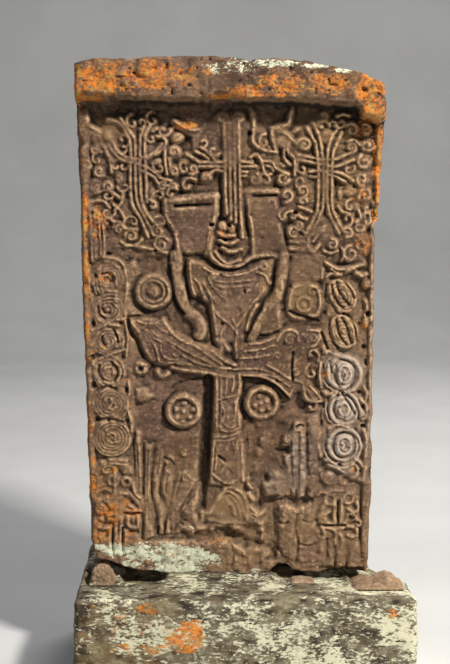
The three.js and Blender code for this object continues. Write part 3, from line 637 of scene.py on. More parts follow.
@dataclass
class SteppedFrames:
    """The narrow frames that step down round the middle cross and along the great cross."""

    thin: tuple[Line, ...] = (
        (48, 1526, 64, 1502, 72, 1476, 70, 1440, 68, 1410, 78, 1392, 92, 1383, 116, 1374, 143, 1370),
        (143, 1371, 137, 1392, 130, 1420, 128, 1438), (128, 1440, 146, 1445, 180, 1456),
        (180, 1456, 188, 1484, 196, 1530), (-178, 1466, -136, 1442, -100, 1437),
        (-60, 1102, -67, 1066, -60, 1042, -34, 1017, 0, 1009, 38, 1015, 62, 1035, 100, 1044, 142, 1042),
    )
    bars: Strands = (
        (17, (-205, 1216, -150, 1223, -100, 1227, -46, 1231)), (12, (-50, 1232, -48, 1204, -49, 1176)),
        (12, (-50, 1178, -64, 1130, -72, 1096, -76, 1052)), (15, (48, 1247, 100, 1248, 146, 1246)),
        (11, (50, 1248, 57, 1202, 65, 1150, 72, 1096, 74, 1046)),
        (12, (-206, 1216, -203, 1168, -186, 1140, -171, 1100, -166, 1052)),
    )
    tall: Strands = (
        (29, (-174, 1046, -175, 1012, -178, 980, -165, 940, -157, 900, -143, 868, -110, 842, -96, 812,
            -100, 790)),
        (26, (170, 1044, 166, 1018, 162, 962, 155, 930, 138, 898, 111, 870, 99, 848, 85, 820, 66, 782)),
    )
    slots: Channels = (
        (11, -26, (-176, 1201, -120, 1204, -64, 1206)), (10, -26, (70, 1233, 144, 1236)),
        (14, -30, (-196, 1012, -192, 960, -184, 918, -170, 880, -152, 858)),
        (12, -30, (-146, 1022, -144, 976, -138, 936, -124, 908, -100, 898, -76, 880, -66, 840, -64, 800,
            -56, 756)),
        (13, -28, (141, 1024, 134, 984, 125, 950, 111, 912, 94, 872, 76, 842, 60, 810, 42, 768)),
        (10, -28, (-90, 1036, -60, 1018, -30, 1002, 0, 998, 36, 1004, 72, 1026, 134, 1036)),
        (9, -26, (190, 1040, 186, 990, 178, 940, 168, 912)),
    )

    def cut(self, face: Face) -> None:
        """Carves the frames, and the channels beside them."""
        for line in self.thin:
            face.cord(line, 12, 1, -1.0, 10)
        face.cords(self.bars, crest=-2.0, bed=6)
        for width, line in self.tall:
            path = smooth_line(line)
            face.cord(tuple(path.ravel()), width, 1, -3.0, 5)
        face.slots(self.slots)


@dataclass
class BorderKnot:
    """One round knot of the border: an outer ribbon and what is knotted inside it."""

    x: float
    z: float
    radius: float
    ribs: int = 2
    stretch: float = 1.0
    tilt: float = 0.0
    crest: float = -3.0
    twist: float = 1.0
    cords: tuple[Line, ...] = ()
    grooves: tuple[Line, ...] = ()
    eye: float = 9.0

    def cut(self, face: Face) -> None:
        """Carves the ribbon winding inwards, then the cords over it and the grooves between them."""
        face.lobe(self.x, self.z, self.radius * 0.94, self.radius * 0.94 * self.stretch, self.tilt,
                  self.crest - 8)
        face.ring(self.x, self.z, self.radius, self.radius - self.eye, self.ribs, self.crest, self.stretch,
                  self.tilt, 13, False, 4, 3, self.twist)
        face.lobe(self.x, self.z, self.eye * 0.8, self.eye * self.stretch, self.tilt, self.crest - 1)
        for line in self.cords:
            face.cord(line, 11, 1, self.crest + 2, 12, True, 2, 2)
        for line in self.grooves:
            face.groove(line, 12, 13)


LEFT_KNOTS = (
    BorderKnot(-390, 972, 50, 4, cords=(
        (-405, 992, -380, 994, -364, 974, -366, 950), (-440, 956, -434, 940, -430, 924),
        (-428, 956, -424, 938, -416, 926), (-416, 952, -412, 938, -402, 930),
    ),
        grooves=((-412, 984, -396, 990, -378, 980, -378, 962), (-404, 968, -392, 974, -386, 962))),
    BorderKnot(-393, 870, 52, 4, twist=-1, cords=(
        (-410, 929, -388, 932, -366, 930), (-410, 916, -388, 920, -366, 918),
        (-408, 904, -388, 908, -364, 906), (-406, 893, -388, 897, -366, 896),
        (-372, 890, -356, 868, -366, 840),
    ),
        grooves=((-424, 882, -422, 858, -404, 842), (-410, 874, -402, 860, -388, 862))),
    BorderKnot(-393, 768, 54, 4, 0.86, 0, cords=(
        (-446, 806, -410, 816, -380, 836, -340, 842), (-366, 800, -358, 778, -366, 752),
    ),
        grooves=((-376, 806, -364, 786, -362, 764), (-412, 784, -414, 768, -402, 754))),
    BorderKnot(-391, 668, 54, 4, 1.05, 8, -2, -1, (
        (-446, 696, -416, 714, -384, 728, -340, 744), (-372, 700, -357, 682, -356, 660, -366, 640),
    ),
        ((-384, 700, -368, 684, -364, 662, -376, 640), (-424, 692, -424, 664, -412, 642))),
    BorderKnot(-388, 566, 60, 5, crest=-2, twist=2, cords=(
        (-408, 576, -396, 586, -382, 578, -386, 562, -398, 552), (-370, 556, -382, 546, -396, 552),
    ),
        grooves=((-430, 608, -400, 622, -368, 612),)),
    BorderKnot(-385, 452, 63, 5, crest=-2, twist=1, cords=(
        (-400, 462, -388, 470, -374, 462, -378, 446), (-370, 440, -384, 436, -398, 446),
    ),
        grooves=((-438, 508, -400, 516, -348, 502),)),
)

RIGHT_KNOTS = (
    BorderKnot(354, 914, 45, 4, 1.3, 32, -2, 0, (), (
        (338, 962, 344, 934, 362, 906, 380, 886), (322, 950, 328, 922, 344, 892, 362, 874),
        (362, 962, 382, 936, 396, 906), (306, 950, 308, 920, 322, 890, 340, 868),
    )),
    BorderKnot(362, 800, 46, 4, 1.25, 26, -2, 0, (), (
        (374, 854, 392, 830, 402, 800, 404, 770), (338, 838, 344, 805, 356, 778, 372, 758),
        (356, 846, 372, 815, 380, 785, 388, 762), (318, 836, 318, 800, 330, 768, 348, 748),
    )),
    BorderKnot(362, 663, 66, 3, 1.04, 10, -2, 1, (
        (350, 676, 362, 690, 380, 684, 388, 662, 380, 640, 364, 634, 352, 646, 350, 664),
        (366, 672, 374, 660, 368, 648),
    ), (
            (318, 704, 326, 672, 336, 650, 352, 618),
            (346, 712, 376, 704, 397, 684, 400, 650, 390, 625, 372, 608), (340, 690, 336, 664, 346, 640),
            (300, 690, 300, 650, 318, 622),
        )),
    BorderKnot(364, 545, 58, 3, 1.06, 12, -2, -1, (
        (356, 560, 366, 570, 380, 560, 384, 542, 372, 526, 358, 530, 352, 546),
        (420, 580, 436, 560, 440, 530, 428, 512),
    ), (
            (356, 606, 372, 580, 390, 555, 402, 530), (350, 604, 338, 570, 336, 540, 346, 520, 366, 512),
            (374, 596, 396, 576, 412, 546, 414, 516), (318, 585, 312, 550, 322, 512),
        )),
    BorderKnot(368, 426, 68, 3, 1.04, 0, -2, 1, (
        (368, 456, 352, 446, 348, 426, 356, 404, 372, 398, 388, 410, 390, 436, 380, 452, 368, 456),
        (360, 436, 370, 428, 362, 416, 376, 412), (318, 484, 346, 496, 380, 488),
        (320, 362, 346, 352, 372, 336), (400, 366, 368, 352, 340, 366),
    ), (
            (370, 470, 344, 458, 335, 426, 344, 394, 370, 384, 396, 396, 404, 426, 396, 458, 370, 470),
            (314, 470, 306, 430, 318, 392, 342, 372), (404, 480, 424, 452, 430, 420, 420, 382),
        )),
)


@dataclass
class Border:
    """The knotted border down one side, with what joins its knots."""

    knots: tuple[BorderKnot, ...]
    cords: Strands
    lobes: tuple[Line, ...]
    pits: tuple[Line, ...]

    def cut(self, face: Face) -> None:
        """Carves the linking cords, the knots, and the pits between them."""
        face.cords(self.cords)
        face.lobes(self.lobes)
        for knot in self.knots:
            knot.cut(face)
        face.pits(self.pits)


LEFT_BORDER = Border(
    LEFT_KNOTS,
    cords=(
        (22, (-461, 1200, -461, 1300, -463, 1456)), (10, (-465, 1196, -462, 1100, -460, 1010)),
        (9, (-447, 1196, -443, 1100, -441, 1030)), (9, (-433, 1190, -430, 1110, -430, 1040)),
        (9, (-420, 1176, -416, 1120, -414, 1050)), (9, (-408, 1160, -402, 1100, -402, 1046)),
        (10, (-412, 1041, -372, 1035, -346, 1020, -334, 998)), (9, (-404, 1026, -376, 1020, -356, 1006)),
        (10, (-338, 1000, -330, 960, -336, 900, -338, 850)), (9, (-336, 840, -330, 780, -336, 720)),
        (9, (-455, 1000, -452, 940, -450, 880)), (9, (-450, 770, -448, 730, -444, 700)),
        (8, (-446, 560, -450, 590, -444, 620)), (8, (-330, 540, -322, 500, -322, 470)),
        (8, (-444, 500, -448, 470, -446, 430)), (10, (-420, 818, -396, 824, -362, 820)),
        (9, (-330, 640, -326, 610, -330, 590)),
    ),
    lobes=((-444, 905, 10, 20, 0), (-440, 760, 9, 22, 0), (-438, 665, 8, 20, 0), (-434, 690, 8, 14, 0)),
    pits=(
        (-441, 826, 7, 13, -30), (-445, 716, 8, 10, -30), (-442, 626, 9, 12, -30), (-430, 515, 8, 8, -28),
        (-395, 510, 6, 5, -24), (-432, 980, 6, 9, -26), (-388, 620, 6, 5, -22), (-336, 610, 6, 10, -26),
        (-334, 508, 6, 8, -26), (-350, 826, 8, 7, -24), (-346, 720, 7, 8, -24),
    ),
)

RIGHT_BORDER = Border(
    RIGHT_KNOTS,
    cords=(
        (10, (300, 1025, 330, 1006, 355, 1000, 400, 1010, 424, 1016)), (9, (320, 1002, 334, 990, 350, 984)),
        (9, (364, 992, 378, 999, 394, 1004)), (10, (292, 1000, 288, 940, 290, 860)),
        (8, (304, 976, 324, 988, 344, 982)), (8, (400, 990, 420, 978, 432, 986)),
        (11, (450, 1140, 452, 900, 451, 700, 450, 470)), (8, (432, 900, 436, 870, 430, 850)),
        (8, (310, 740, 330, 728, 350, 722)), (8, (290, 700, 286, 660, 292, 620)),
        (9, (430, 622, 440, 600, 436, 576)), (9, (300, 602, 318, 596, 330, 604)),
        (9, (290, 470, 286, 430, 292, 390)), (9, (432, 480, 442, 440, 436, 390)),
        (9, (292, 342, 300, 314, 322, 300, 346, 302)), (8, (404, 384, 420, 372, 430, 356)),
        (8, (370, 352, 386, 325, 404, 319, 416, 345, 400, 368)), (8, (308, 378, 328, 372, 344, 360)),
        (8, (440, 320, 430, 310, 418, 312)), (8, (446, 512, 450, 530, 446, 552)),
    ),
    lobes=(
        (434, 955, 13, 17, 20), (432, 528, 20, 22, 30), (320, 322, 22, 17, 10), (390, 345, 16, 18, 0),
        (432, 830, 10, 18, 10), (304, 740, 12, 18, 0), (440, 400, 8, 22, 0), (310, 600, 12, 10, 0),
    ),
    pits=(
        (410, 950, 6, 8, -30), (440, 857, 9, 9, -32), (412, 825, 5, 6, -28), (430, 490, 9, 7, -32),
        (415, 602, 7, 6, -30), (425, 340, 7, 6, -32), (455, 340, 7, 6, -30), (355, 300, 6, 6, -28),
        (355, 362, 6, 5, -28), (430, 555, 5, 10, -28), (436, 700, 6, 12, -26), (300, 860, 8, 8, -28),
        (428, 750, 8, 8, -28), (362, 858, 6, 5, -28), (364, 732, 7, 5, -26), (362, 600, 6, 5, -26),
        (300, 560, 5, 14, -28), (296, 500, 5, 12, -26),
    ),
)


@dataclass
class Roundel:
    """A round boss with a raised rim between the arms of the great cross."""

    x: float
    z: float
    radius: float
    rim: float = 12.0
    inner: tuple[float, ...] = ()
    petals: tuple[Line, ...] = ()
    boss: float = 0.0

    def cut(self, face: Face) -> None:
        """Sinks the ground round it and carves its rings and petals."""
        face.pit(self.x - 7, self.z - 7, self.radius + 13, self.radius + 13, face.ground - 13)
        face.lobe(self.x, self.z, 0.8 * self.radius, 0.8 * self.radius, 0, face.crest - 9)
        face.ring(self.x, self.z, self.radius, self.rim, 1, face.crest, bed=8)
        for radius in self.inner:
            face.ring(self.x, self.z, radius, 10, 1, face.crest - 1, bed=8)
        if self.boss:
            face.lobe(self.x, self.z, self.boss, self.boss, 0, face.crest)
        face.lobes(self.petals, face.crest - 2)


ROUNDELS = (
    Roundel(-247, 930, 55, 13, (40,), ((-232, 936, 6, 9, 30),), 22),
    Roundel(-153, 541, 54, 13, (), (
        (-150, 566, 11, 9, 0), (-176, 546, 9, 10, 20), (-122, 546, 9, 10, -20), (-175, 520, 9, 9, 0),
        (-130, 520, 10, 9, 0), (-152, 540, 8, 9, 0), (-154, 504, 10, 7, 0),
    ), 0),
    Roundel(101, 567, 52, 12, (), (
        (95, 588, 10, 8, 0), (118, 575, 10, 9, 20), (78, 558, 10, 10, 0), (101, 542, 11, 9, 0),
        (124, 550, 9, 9, 0), (98, 566, 8, 7, 0),
    ), 0),
)


@dataclass
class BrokenRoundel:
    """The upper right roundel, squarish and damaged."""

    outline: Line = (
        196, 946, 236, 952, 276, 944, 288, 906, 284, 862, 262, 846, 216, 844, 190, 862, 186, 904,
    )
    middle: tuple[float, float] = (236, 896)

    def cut(self, face: Face) -> None:
        """Carves the worn rim and what is left inside."""
        face.sink((170, 968, 300, 968, 302, 838, 172, 838), -24, 10)
        face.plate(self.outline, -12, 8)
        ring = (*self.outline, *self.outline[:2])
        drawn_in = (0.94 * v + 0.06 * self.middle[k % 2] for k, v in enumerate(ring))
        face.cord(tuple(drawn_in), 12, 1, -4, 8)
        face.ring(234, 888, 28, 10, 1, -5, bed=8)
        face.lobe(233, 886, 11, 12, 0, -5)
        face.lobe(205, 922, 14, 10, 30, -6)
        face.slot((190, 866, 208, 856, 230, 850, 282, 834), 12, -31)
        face.pit(237, 985, 6, 5, -24)
        face.pit(190, 945, 7, 7, -30)


@dataclass
class GreatCross:
    """The great cross: its flared and lobed arms, the cords along them, and its shaft."""

    arms: Strands = (
        (-8, (-132, 1032, -92, 1021, -50, 998, 0, 990, 50, 1000, 92, 1021, 136, 1032, 128, 985, 122, 960,
            105, 920, 84, 896, 66, 872, 50, 836, 38, 770, -48, 760, -56, 806, -60, 850, -72, 888,
            -96, 912, -112, 919, -126, 934)),
        (-7, (-40, 742, -80, 755, -112, 767, -150, 784, -190, 806, -216, 832, -242, 842, -280, 845,
            -326, 838, -306, 800, -290, 768, -280, 740, -268, 714, -254, 700, -226, 692, -190, 690,
            -130, 676, -60, 664, -30, 652, 0, 652)),
        (-8, (30, 652, 80, 654, 110, 650, 142, 634, 166, 610, 182, 594, 226, 606, 246, 572, 298, 571,
            276, 606, 258, 640, 246, 700, 248, 748, 272, 756, 288, 786, 286, 802, 246, 808, 204, 812,
            168, 802, 140, 790, 100, 772, 60, 764, 10, 760)),
        (-8, (-50, 672, 34, 672, 29, 480, 40, 448, 42, 300, 36, 282, -72, 296, -66, 340, -58, 400,
            -60, 462, -50, 486)),
    )
    cords: Strands = (
        (8, (-130, 1018, -129, 985, -122, 940, -114, 921)), (8, (-114, 970, -101, 955, -92, 930, -82, 908)),
        (8, (-88, 962, -76, 936, -60, 914, -48, 898)), (8, (-70, 972, -60, 950, -44, 935, -18, 920)),
        (8, (-50, 964, 0, 960, 60, 965)), (8, (-48, 949, 0, 944, 60, 950)),
        (8, (-50, 934, -34, 918, -14, 904)), (8, (60, 936, 32, 916, 18, 903)),
        (8, (82, 992, 98, 988, 112, 978, 120, 958)),
        (8, (-64, 912, -54, 874, -34, 848, -10, 830, 6, 814, 20, 795)), (8, (-58, 880, -52, 840, -46, 790)),
        (8, (96, 920, 62, 882, 30, 832, 16, 812)), (8, (62, 902, 44, 872, 20, 850)),
        (8, (82, 886, 62, 850, 50, 806)), (8, (6, 842, 20, 802, 15, 760, 20, 716)),
        (8, (-20, 812, -32, 790, -22, 764, -6, 742)), (8, (-46, 776, -30, 752, -34, 728)),
        (8, (-86, 1006, -52, 988, -4, 980, 46, 988, 84, 1006)),
        (10, (-216, 836, -196, 806, -176, 785, -150, 768, -110, 752, -62, 716, -30, 696)),
        (10, (-200, 771, -180, 759, -150, 741, -110, 720, -52, 692)),
        (8, (-190, 752, -160, 728, -120, 704)),
        (9, (-226, 756, -220, 730, -204, 714, -170, 707, -130, 692)),
        (8, (-207, 696, -180, 700, -150, 694)), (9, (-282, 812, -263, 800, -260, 780, -263, 756)),
        (8, (-252, 804, -240, 790, -224, 784)), (8, (-246, 779, -230, 772, -214, 768)),
        (9, (-271, 771, -250, 764, -240, 748, -235, 728, -231, 706)),
        (8, (-320, 832, -296, 800, -276, 752, -256, 710)), (8, (-300, 836, -270, 826, -232, 830)),
        (8, (-240, 822, -226, 808, -206, 800)),
        (11, (-190, 684, -150, 676, -120, 673, -85, 668, -58, 664, -30, 655, 2, 653)),
        (9, (-120, 704, -80, 690, -40, 684, 0, 680)), (9, (-60, 740, -34, 716, -10, 700, 16, 690)),
        (10, (148, 770, 160, 790, 172, 802, 200, 806, 216, 791, 216, 768)),
        (9, (228, 790, 246, 796, 262, 789)), (9, (246, 748, 270, 756, 286, 780, 285, 800, 246, 806)),
        (9, (10, 676, 50, 680, 96, 678, 130, 666, 152, 650)), (9, (94, 662, 122, 658, 150, 650, 190, 622)),
        (11, (44, 656, 80, 657, 110, 651, 141, 636, 166, 611, 184, 594)),
        (9, (118, 692, 150, 674, 186, 650, 224, 636)), (8, (60, 760, 100, 764, 140, 780)),
        (8, (40, 738, 90, 742, 140, 756)), (8, (30, 714, 70, 716, 120, 724)),
        (9, (225, 642, 235, 622, 240, 592, 258, 574, 292, 573)), (8, (250, 612, 256, 594, 270, 580)),
        (8, (256, 622, 274, 604, 290, 582)), (8, (200, 612, 194, 600, 188, 586)),
        (9, (-302, 696, -290, 700, -270, 690)), (8, (-236, 671, -230, 656, -215, 655, -201, 665)),
    )
    rings: tuple[Line, ...] = ((-290, 680, 19), (105, 1010, 15), (265, 780, 15))
    scrolls: tuple[Line, ...] = (
        (-60, 979, 15, 200, 1.2), (95, 939, 22, 90, 1.5), (-30, 770, 12, 40, -1.1),
        (150, 722, 18, 200, -1.2), (190, 775, 22, 30, 1.4), (212, 668, 17, 90, 1.2),
        (250, 774, 20, 150, -1.2), (-264, 786, 18, 30, 1.2), (-172, 732, 17, 200, 1.1),
        (-20, 936, 16, 30, 1.2), (44, 880, 17, 200, -1.1), (90, 720, 15, 60, 1.1),
    )
    diamond: Line = (-30, 880, 0, 862, 40, 896, 8, 914)
    drop: Line = (-306, 612, -308, 586, -292, 571, -270, 574, -254, 590, -268, 610, -286, 618)
    channels: Channels = (
        (13, -31, (-330, 836, -322, 800, -304, 772, -294, 745, -282, 716)),
        (13, -31, (-190, 616, -165, 631, -110, 645, -52, 646)), (9, -28, (-44, 645, -52, 646)),
        (11, -28, (-302, 566, -280, 562, -250, 574, -214, 566)),
        (10, -30, (36, 649, 74, 647, 105, 642, 150, 618, 188, 578)),
        (10, -28, (212, 584, 240, 566, 262, 558, 298, 562)), (9, -28, (292, 796, 302, 770, 312, 744)),
        (7, -24, (200, 732, 198, 690, 201, 640)), (8, -24, (-240, 660, -222, 640, -196, 640)),
        (9, -25, (-330, 848, -260, 853, -214, 852)),
    )
    pits: tuple[Line, ...] = ((-32, 983, 6, 5, -20), (-26, 826, 5, 8, -20), (44, 930, 5, 8, -20))

    def cut(self, face: Face) -> None:
        """Raises the arms and carves their lines."""
        face.plates(self.arms, 9)
        face.plate(self.diamond, -6, 4)
        face.plate(self.drop, -5, 9, 3)
        for x, z, radius in self.rings:
            face.ring(x, z, radius, 9, 1, bed=7)
        face.scrolls(self.scrolls, width=8.5)
        face.cords(self.cords, 1.2, bed=10)
        face.slots(self.channels)
        face.pits(self.pits)


@dataclass
class Shaft:
    """The knotted shaft of the great cross and the deep channels on either side of it."""

    cords: Strands = (
        (8, (-46, 662, -45, 600, -46, 486)), (7, (-32, 650, -31, 560, -33, 486)),
        (8, (28, 664, 28, 560, 26, 484)), (8, (-42, 577, -12, 586, 18, 595, 30, 622)),
        (8, (-15, 655, -14, 620, -18, 594)), (8, (10, 655, 10, 630, 4, 606)),
        (8, (-28, 560, -20, 536, -26, 506)), (8, (14, 570, 16, 540, 10, 506)),
        (9, (-56, 456, -20, 456, 4, 461, 26, 470)), (8, (-42, 444, -10, 443, 14, 452)),
        (9, (-55, 440, -60, 380, -66, 330)), (8, (-44, 424, -46, 380, -51, 340)),
        (8, (20, 440, 22, 380, 26, 320)), (9, (35, 428, 38, 370, 41, 308)),
        (8, (-34, 430, -38, 400, -26, 374, -10, 362, 8, 342)),
        (8, (8, 436, 14, 404, 4, 376, -22, 352, -36, 330)),
        (8, (-62, 334, -32, 311, -10, 300, 18, 310, 36, 326)), (7, (-20, 496, -2, 486, 16, 494)),
        (8, (-30, 480, -6, 472, 20, 482)),
    )
    lobes: tuple[Line, ...] = (
        (-5, 551, 9, 12, 0), (-10, 521, 9, 12, 0), (-4, 482, 11, 9, 0), (-12, 411, 9, 18, 0),
        (-14, 334, 12, 15, 0),
    )
    channels: Channels = (
        (36, -46, (-73, 640, -76, 560, -80, 480, -84, 400, -88, 330, -93, 290)),
        (28, -42, (-91, 300, -95, 250, -96, 212)), (9, -30, (42, 630, 40, 590, 42, 540, 46, 512)),
        (9, -27, (52, 470, 56, 420, 56, 360, 58, 320)),
        (8, -24, (-38, 392, -28, 382, -16, 374)),
    )

    def cut(self, face: Face) -> None:
        """Carves the shaft's knots and cuts its channels."""
        face.lobes(self.lobes, -4)
        face.cords(self.cords, bed=7)
        face.slots(self.channels)


@dataclass
class Mound:
    """The stepped mound under the great cross: arches, two level cords and scrolls."""

    outline: Line = (
        -84, 190, -40, 254, -12, 288, 26, 278, 52, 246, 60, 206, 96, 196, 96, 158, -80, 150,
    )
    cords: Strands = (
        (10, (-80, 194, -60, 216, -38, 252, -12, 285, 24, 276, 46, 250, 54, 212, 51, 178)),
        (9, (-68, 198, -46, 234, -22, 268, -2, 272, 22, 254, 36, 226, 46, 190, 51, 164)),
        (9, (-52, 196, -30, 232, -6, 260, 12, 244, 26, 214, 34, 178)),
        (8, (-34, 192, -20, 216, -4, 232, 10, 214, 18, 186)), (9, (-72, 179, -30, 169, 10, 169, 42, 166)),
        (8, (-56, 158, -20, 153, 4, 152)), (8, (-62, 146, -30, 141, -8, 140)),
        (9, (60, 262, 76, 240, 84, 214)), (9, (96, 214, 118, 202, 142, 184)),
        (8, (92, 166, 118, 160, 150, 162)), (8, (66, 220, 80, 206, 96, 196)),
        (8, (-112, 150, -96, 170, -92, 200)), (8, (-130, 130, -112, 146, -88, 150)),
    )
    lobes: tuple[Line, ...] = (
        (-10, 238, 11, 12, 0), (10, 204, 10, 12, 0), (-40, 190, 10, 10, 0), (140, 196, 16, 10, -10),
        (64, 300, 14, 20, 20), (-120, 176, 14, 20, 0), (-148, 208, 12, 20, -10), (110, 142, 20, 9, 0),
    )
    scrolls: tuple[Line, ...] = ((20, 145, 20, 100, 1.5), (70, 180, 22, 30, 1.5), (-140, 146, 14, 60, 1.1))

    def cut(self, face: Face) -> None:
        """Raises the mound and carves it."""
        face.plate(self.outline, -12, 8)
        face.lobes(self.lobes, -4)
        face.scrolls(self.scrolls)
        face.cords(self.cords, bed=7)


@dataclass
class Palmettes:
    """The tall leaves that rise on either side of the great cross."""

    leaves: Strands = (
        (-9, (-296, 100, -290, 300, -286, 440, -292, 476, -308, 482, -312, 440, -308, 300, -302, 140)),
        (-10, (-288, 100, -280, 300, -280, 436, -270, 446, -250, 438, -252, 400, -262, 330, -262, 240,
            -252, 120)),
        (-9, (-246, 120, -238, 180, -254, 250, -254, 330, -244, 400, -238, 442, -218, 436, -214, 370,
            -228, 330, -234, 290, -236, 262, -214, 212, -222, 130)),
        (-10, (-216, 130, -208, 180, -202, 215, -226, 264, -226, 296, -216, 352, -190, 346, -186, 302,
            -194, 252, -204, 214, -198, 130)),
        (-9, (-192, 130, -188, 176, -168, 206, -148, 240, -128, 272, -112, 310, -140, 346, -172, 340,
            -182, 300, -192, 250, -200, 212)),
        (-10, (-186, 126, -164, 168, -150, 214, -122, 262, -104, 290, -106, 240, -120, 190, -150, 140)),
        (-6, (180, 300, 176, 380, 188, 462, 218, 494, 244, 470, 250, 300, 238, 262, 200, 262)),
        (-9, (164, 414, 168, 396, 184, 386, 186, 370, 210, 370, 212, 440, 180, 442, 166, 430)),
        (-10, (164, 362, 178, 330, 188, 300, 204, 260, 214, 250, 210, 360)),
        (-10, (218, 440, 202, 484, 208, 506, 232, 508, 244, 470, 246, 300, 238, 246, 218, 256)),
        (-7, (252, 452, 248, 512, 262, 530, 286, 532, 288, 440, 284, 330, 258, 330, 250, 372)),
    )
    lines: Strands = (
        (8, (-285, 446, -284, 360, -286, 280, -292, 180)),
        (9, (-246, 440, -250, 400, -258, 330, -258, 260, -250, 215, -240, 180, -236, 130)),
        (9, (-215, 362, -225, 330, -231, 290, -232, 262, -210, 214)),
        (8, (-184, 304, -194, 252, -205, 215, -212, 180, -218, 128)),
        (9, (-128, 272, -148, 242, -170, 206, -190, 176, -196, 128)),
        (7, (-304, 430, -300, 300, -298, 160)), (7, (-268, 410, -272, 330, -272, 240, -266, 160)),
        (7, (-226, 420, -232, 380, -240, 330)), (7, (-204, 330, -212, 290, -212, 270)),
        (7, (-160, 320, -172, 280, -184, 240)), (7, (-136, 250, -150, 214, -164, 180, -170, 140)),
        (9, (213, 340, 214, 250)), (9, (247, 470, 248, 380, 246, 300)),
        (11, (196, 440, 198, 370, 202, 290)), (11, (222, 470, 222, 380, 220, 280)),
        (9, (294, 562, 292, 520, 296, 480)), (8, (246, 378, 262, 374, 276, 376)),
        (10, (281, 252, 280, 190, 282, 128, 284, 60)), (8, (-317, 442, -314, 380, -316, 330)),
        (7, (-182, 440, -186, 408, -196, 384)), (7, (-130, 440, -134, 400, -140, 360)),
    )
    slots: Channels = (
        (9, -26, (-282, 452, -266, 434, -250, 440)), (8, -25, (-216, 386, -196, 376, -184, 360)),
        (10, -30, (-240, 128, -236, 152)), (8, -24, (214, 486, 224, 494, 236, 490)),
    )
    scrolls: tuple[Line, ...] = (
        (186, 446, 16, 30, 1.2), (-196, 378, 17, 220, -1.2), (-142, 322, 21, 100, 1.3),
        (-150, 400, 14, 60, 1.0),
    )
    rings: tuple[Line, ...] = ((184, 208, 20), (190, 132, 25), (250, 214, 24))
    lobes: tuple[Line, ...] = ((266, 304, 18, 24, 10), (195, 176, 14, 12, 0), (222, 180, 10, 26, 0))

    def cut(self, face: Face) -> None:
        """Raises the leaves and parts them with lines."""
        face.plates(self.leaves, 8, 3)
        face.lobes(self.lobes, -5)
        for x, z, radius in self.rings:
            face.ring(x, z, radius, 10, 1, -5, bed=8)
        face.scrolls(self.scrolls)
        for width, line in self.lines:
            face.groove(line, width, 7)
        face.slots(self.slots)


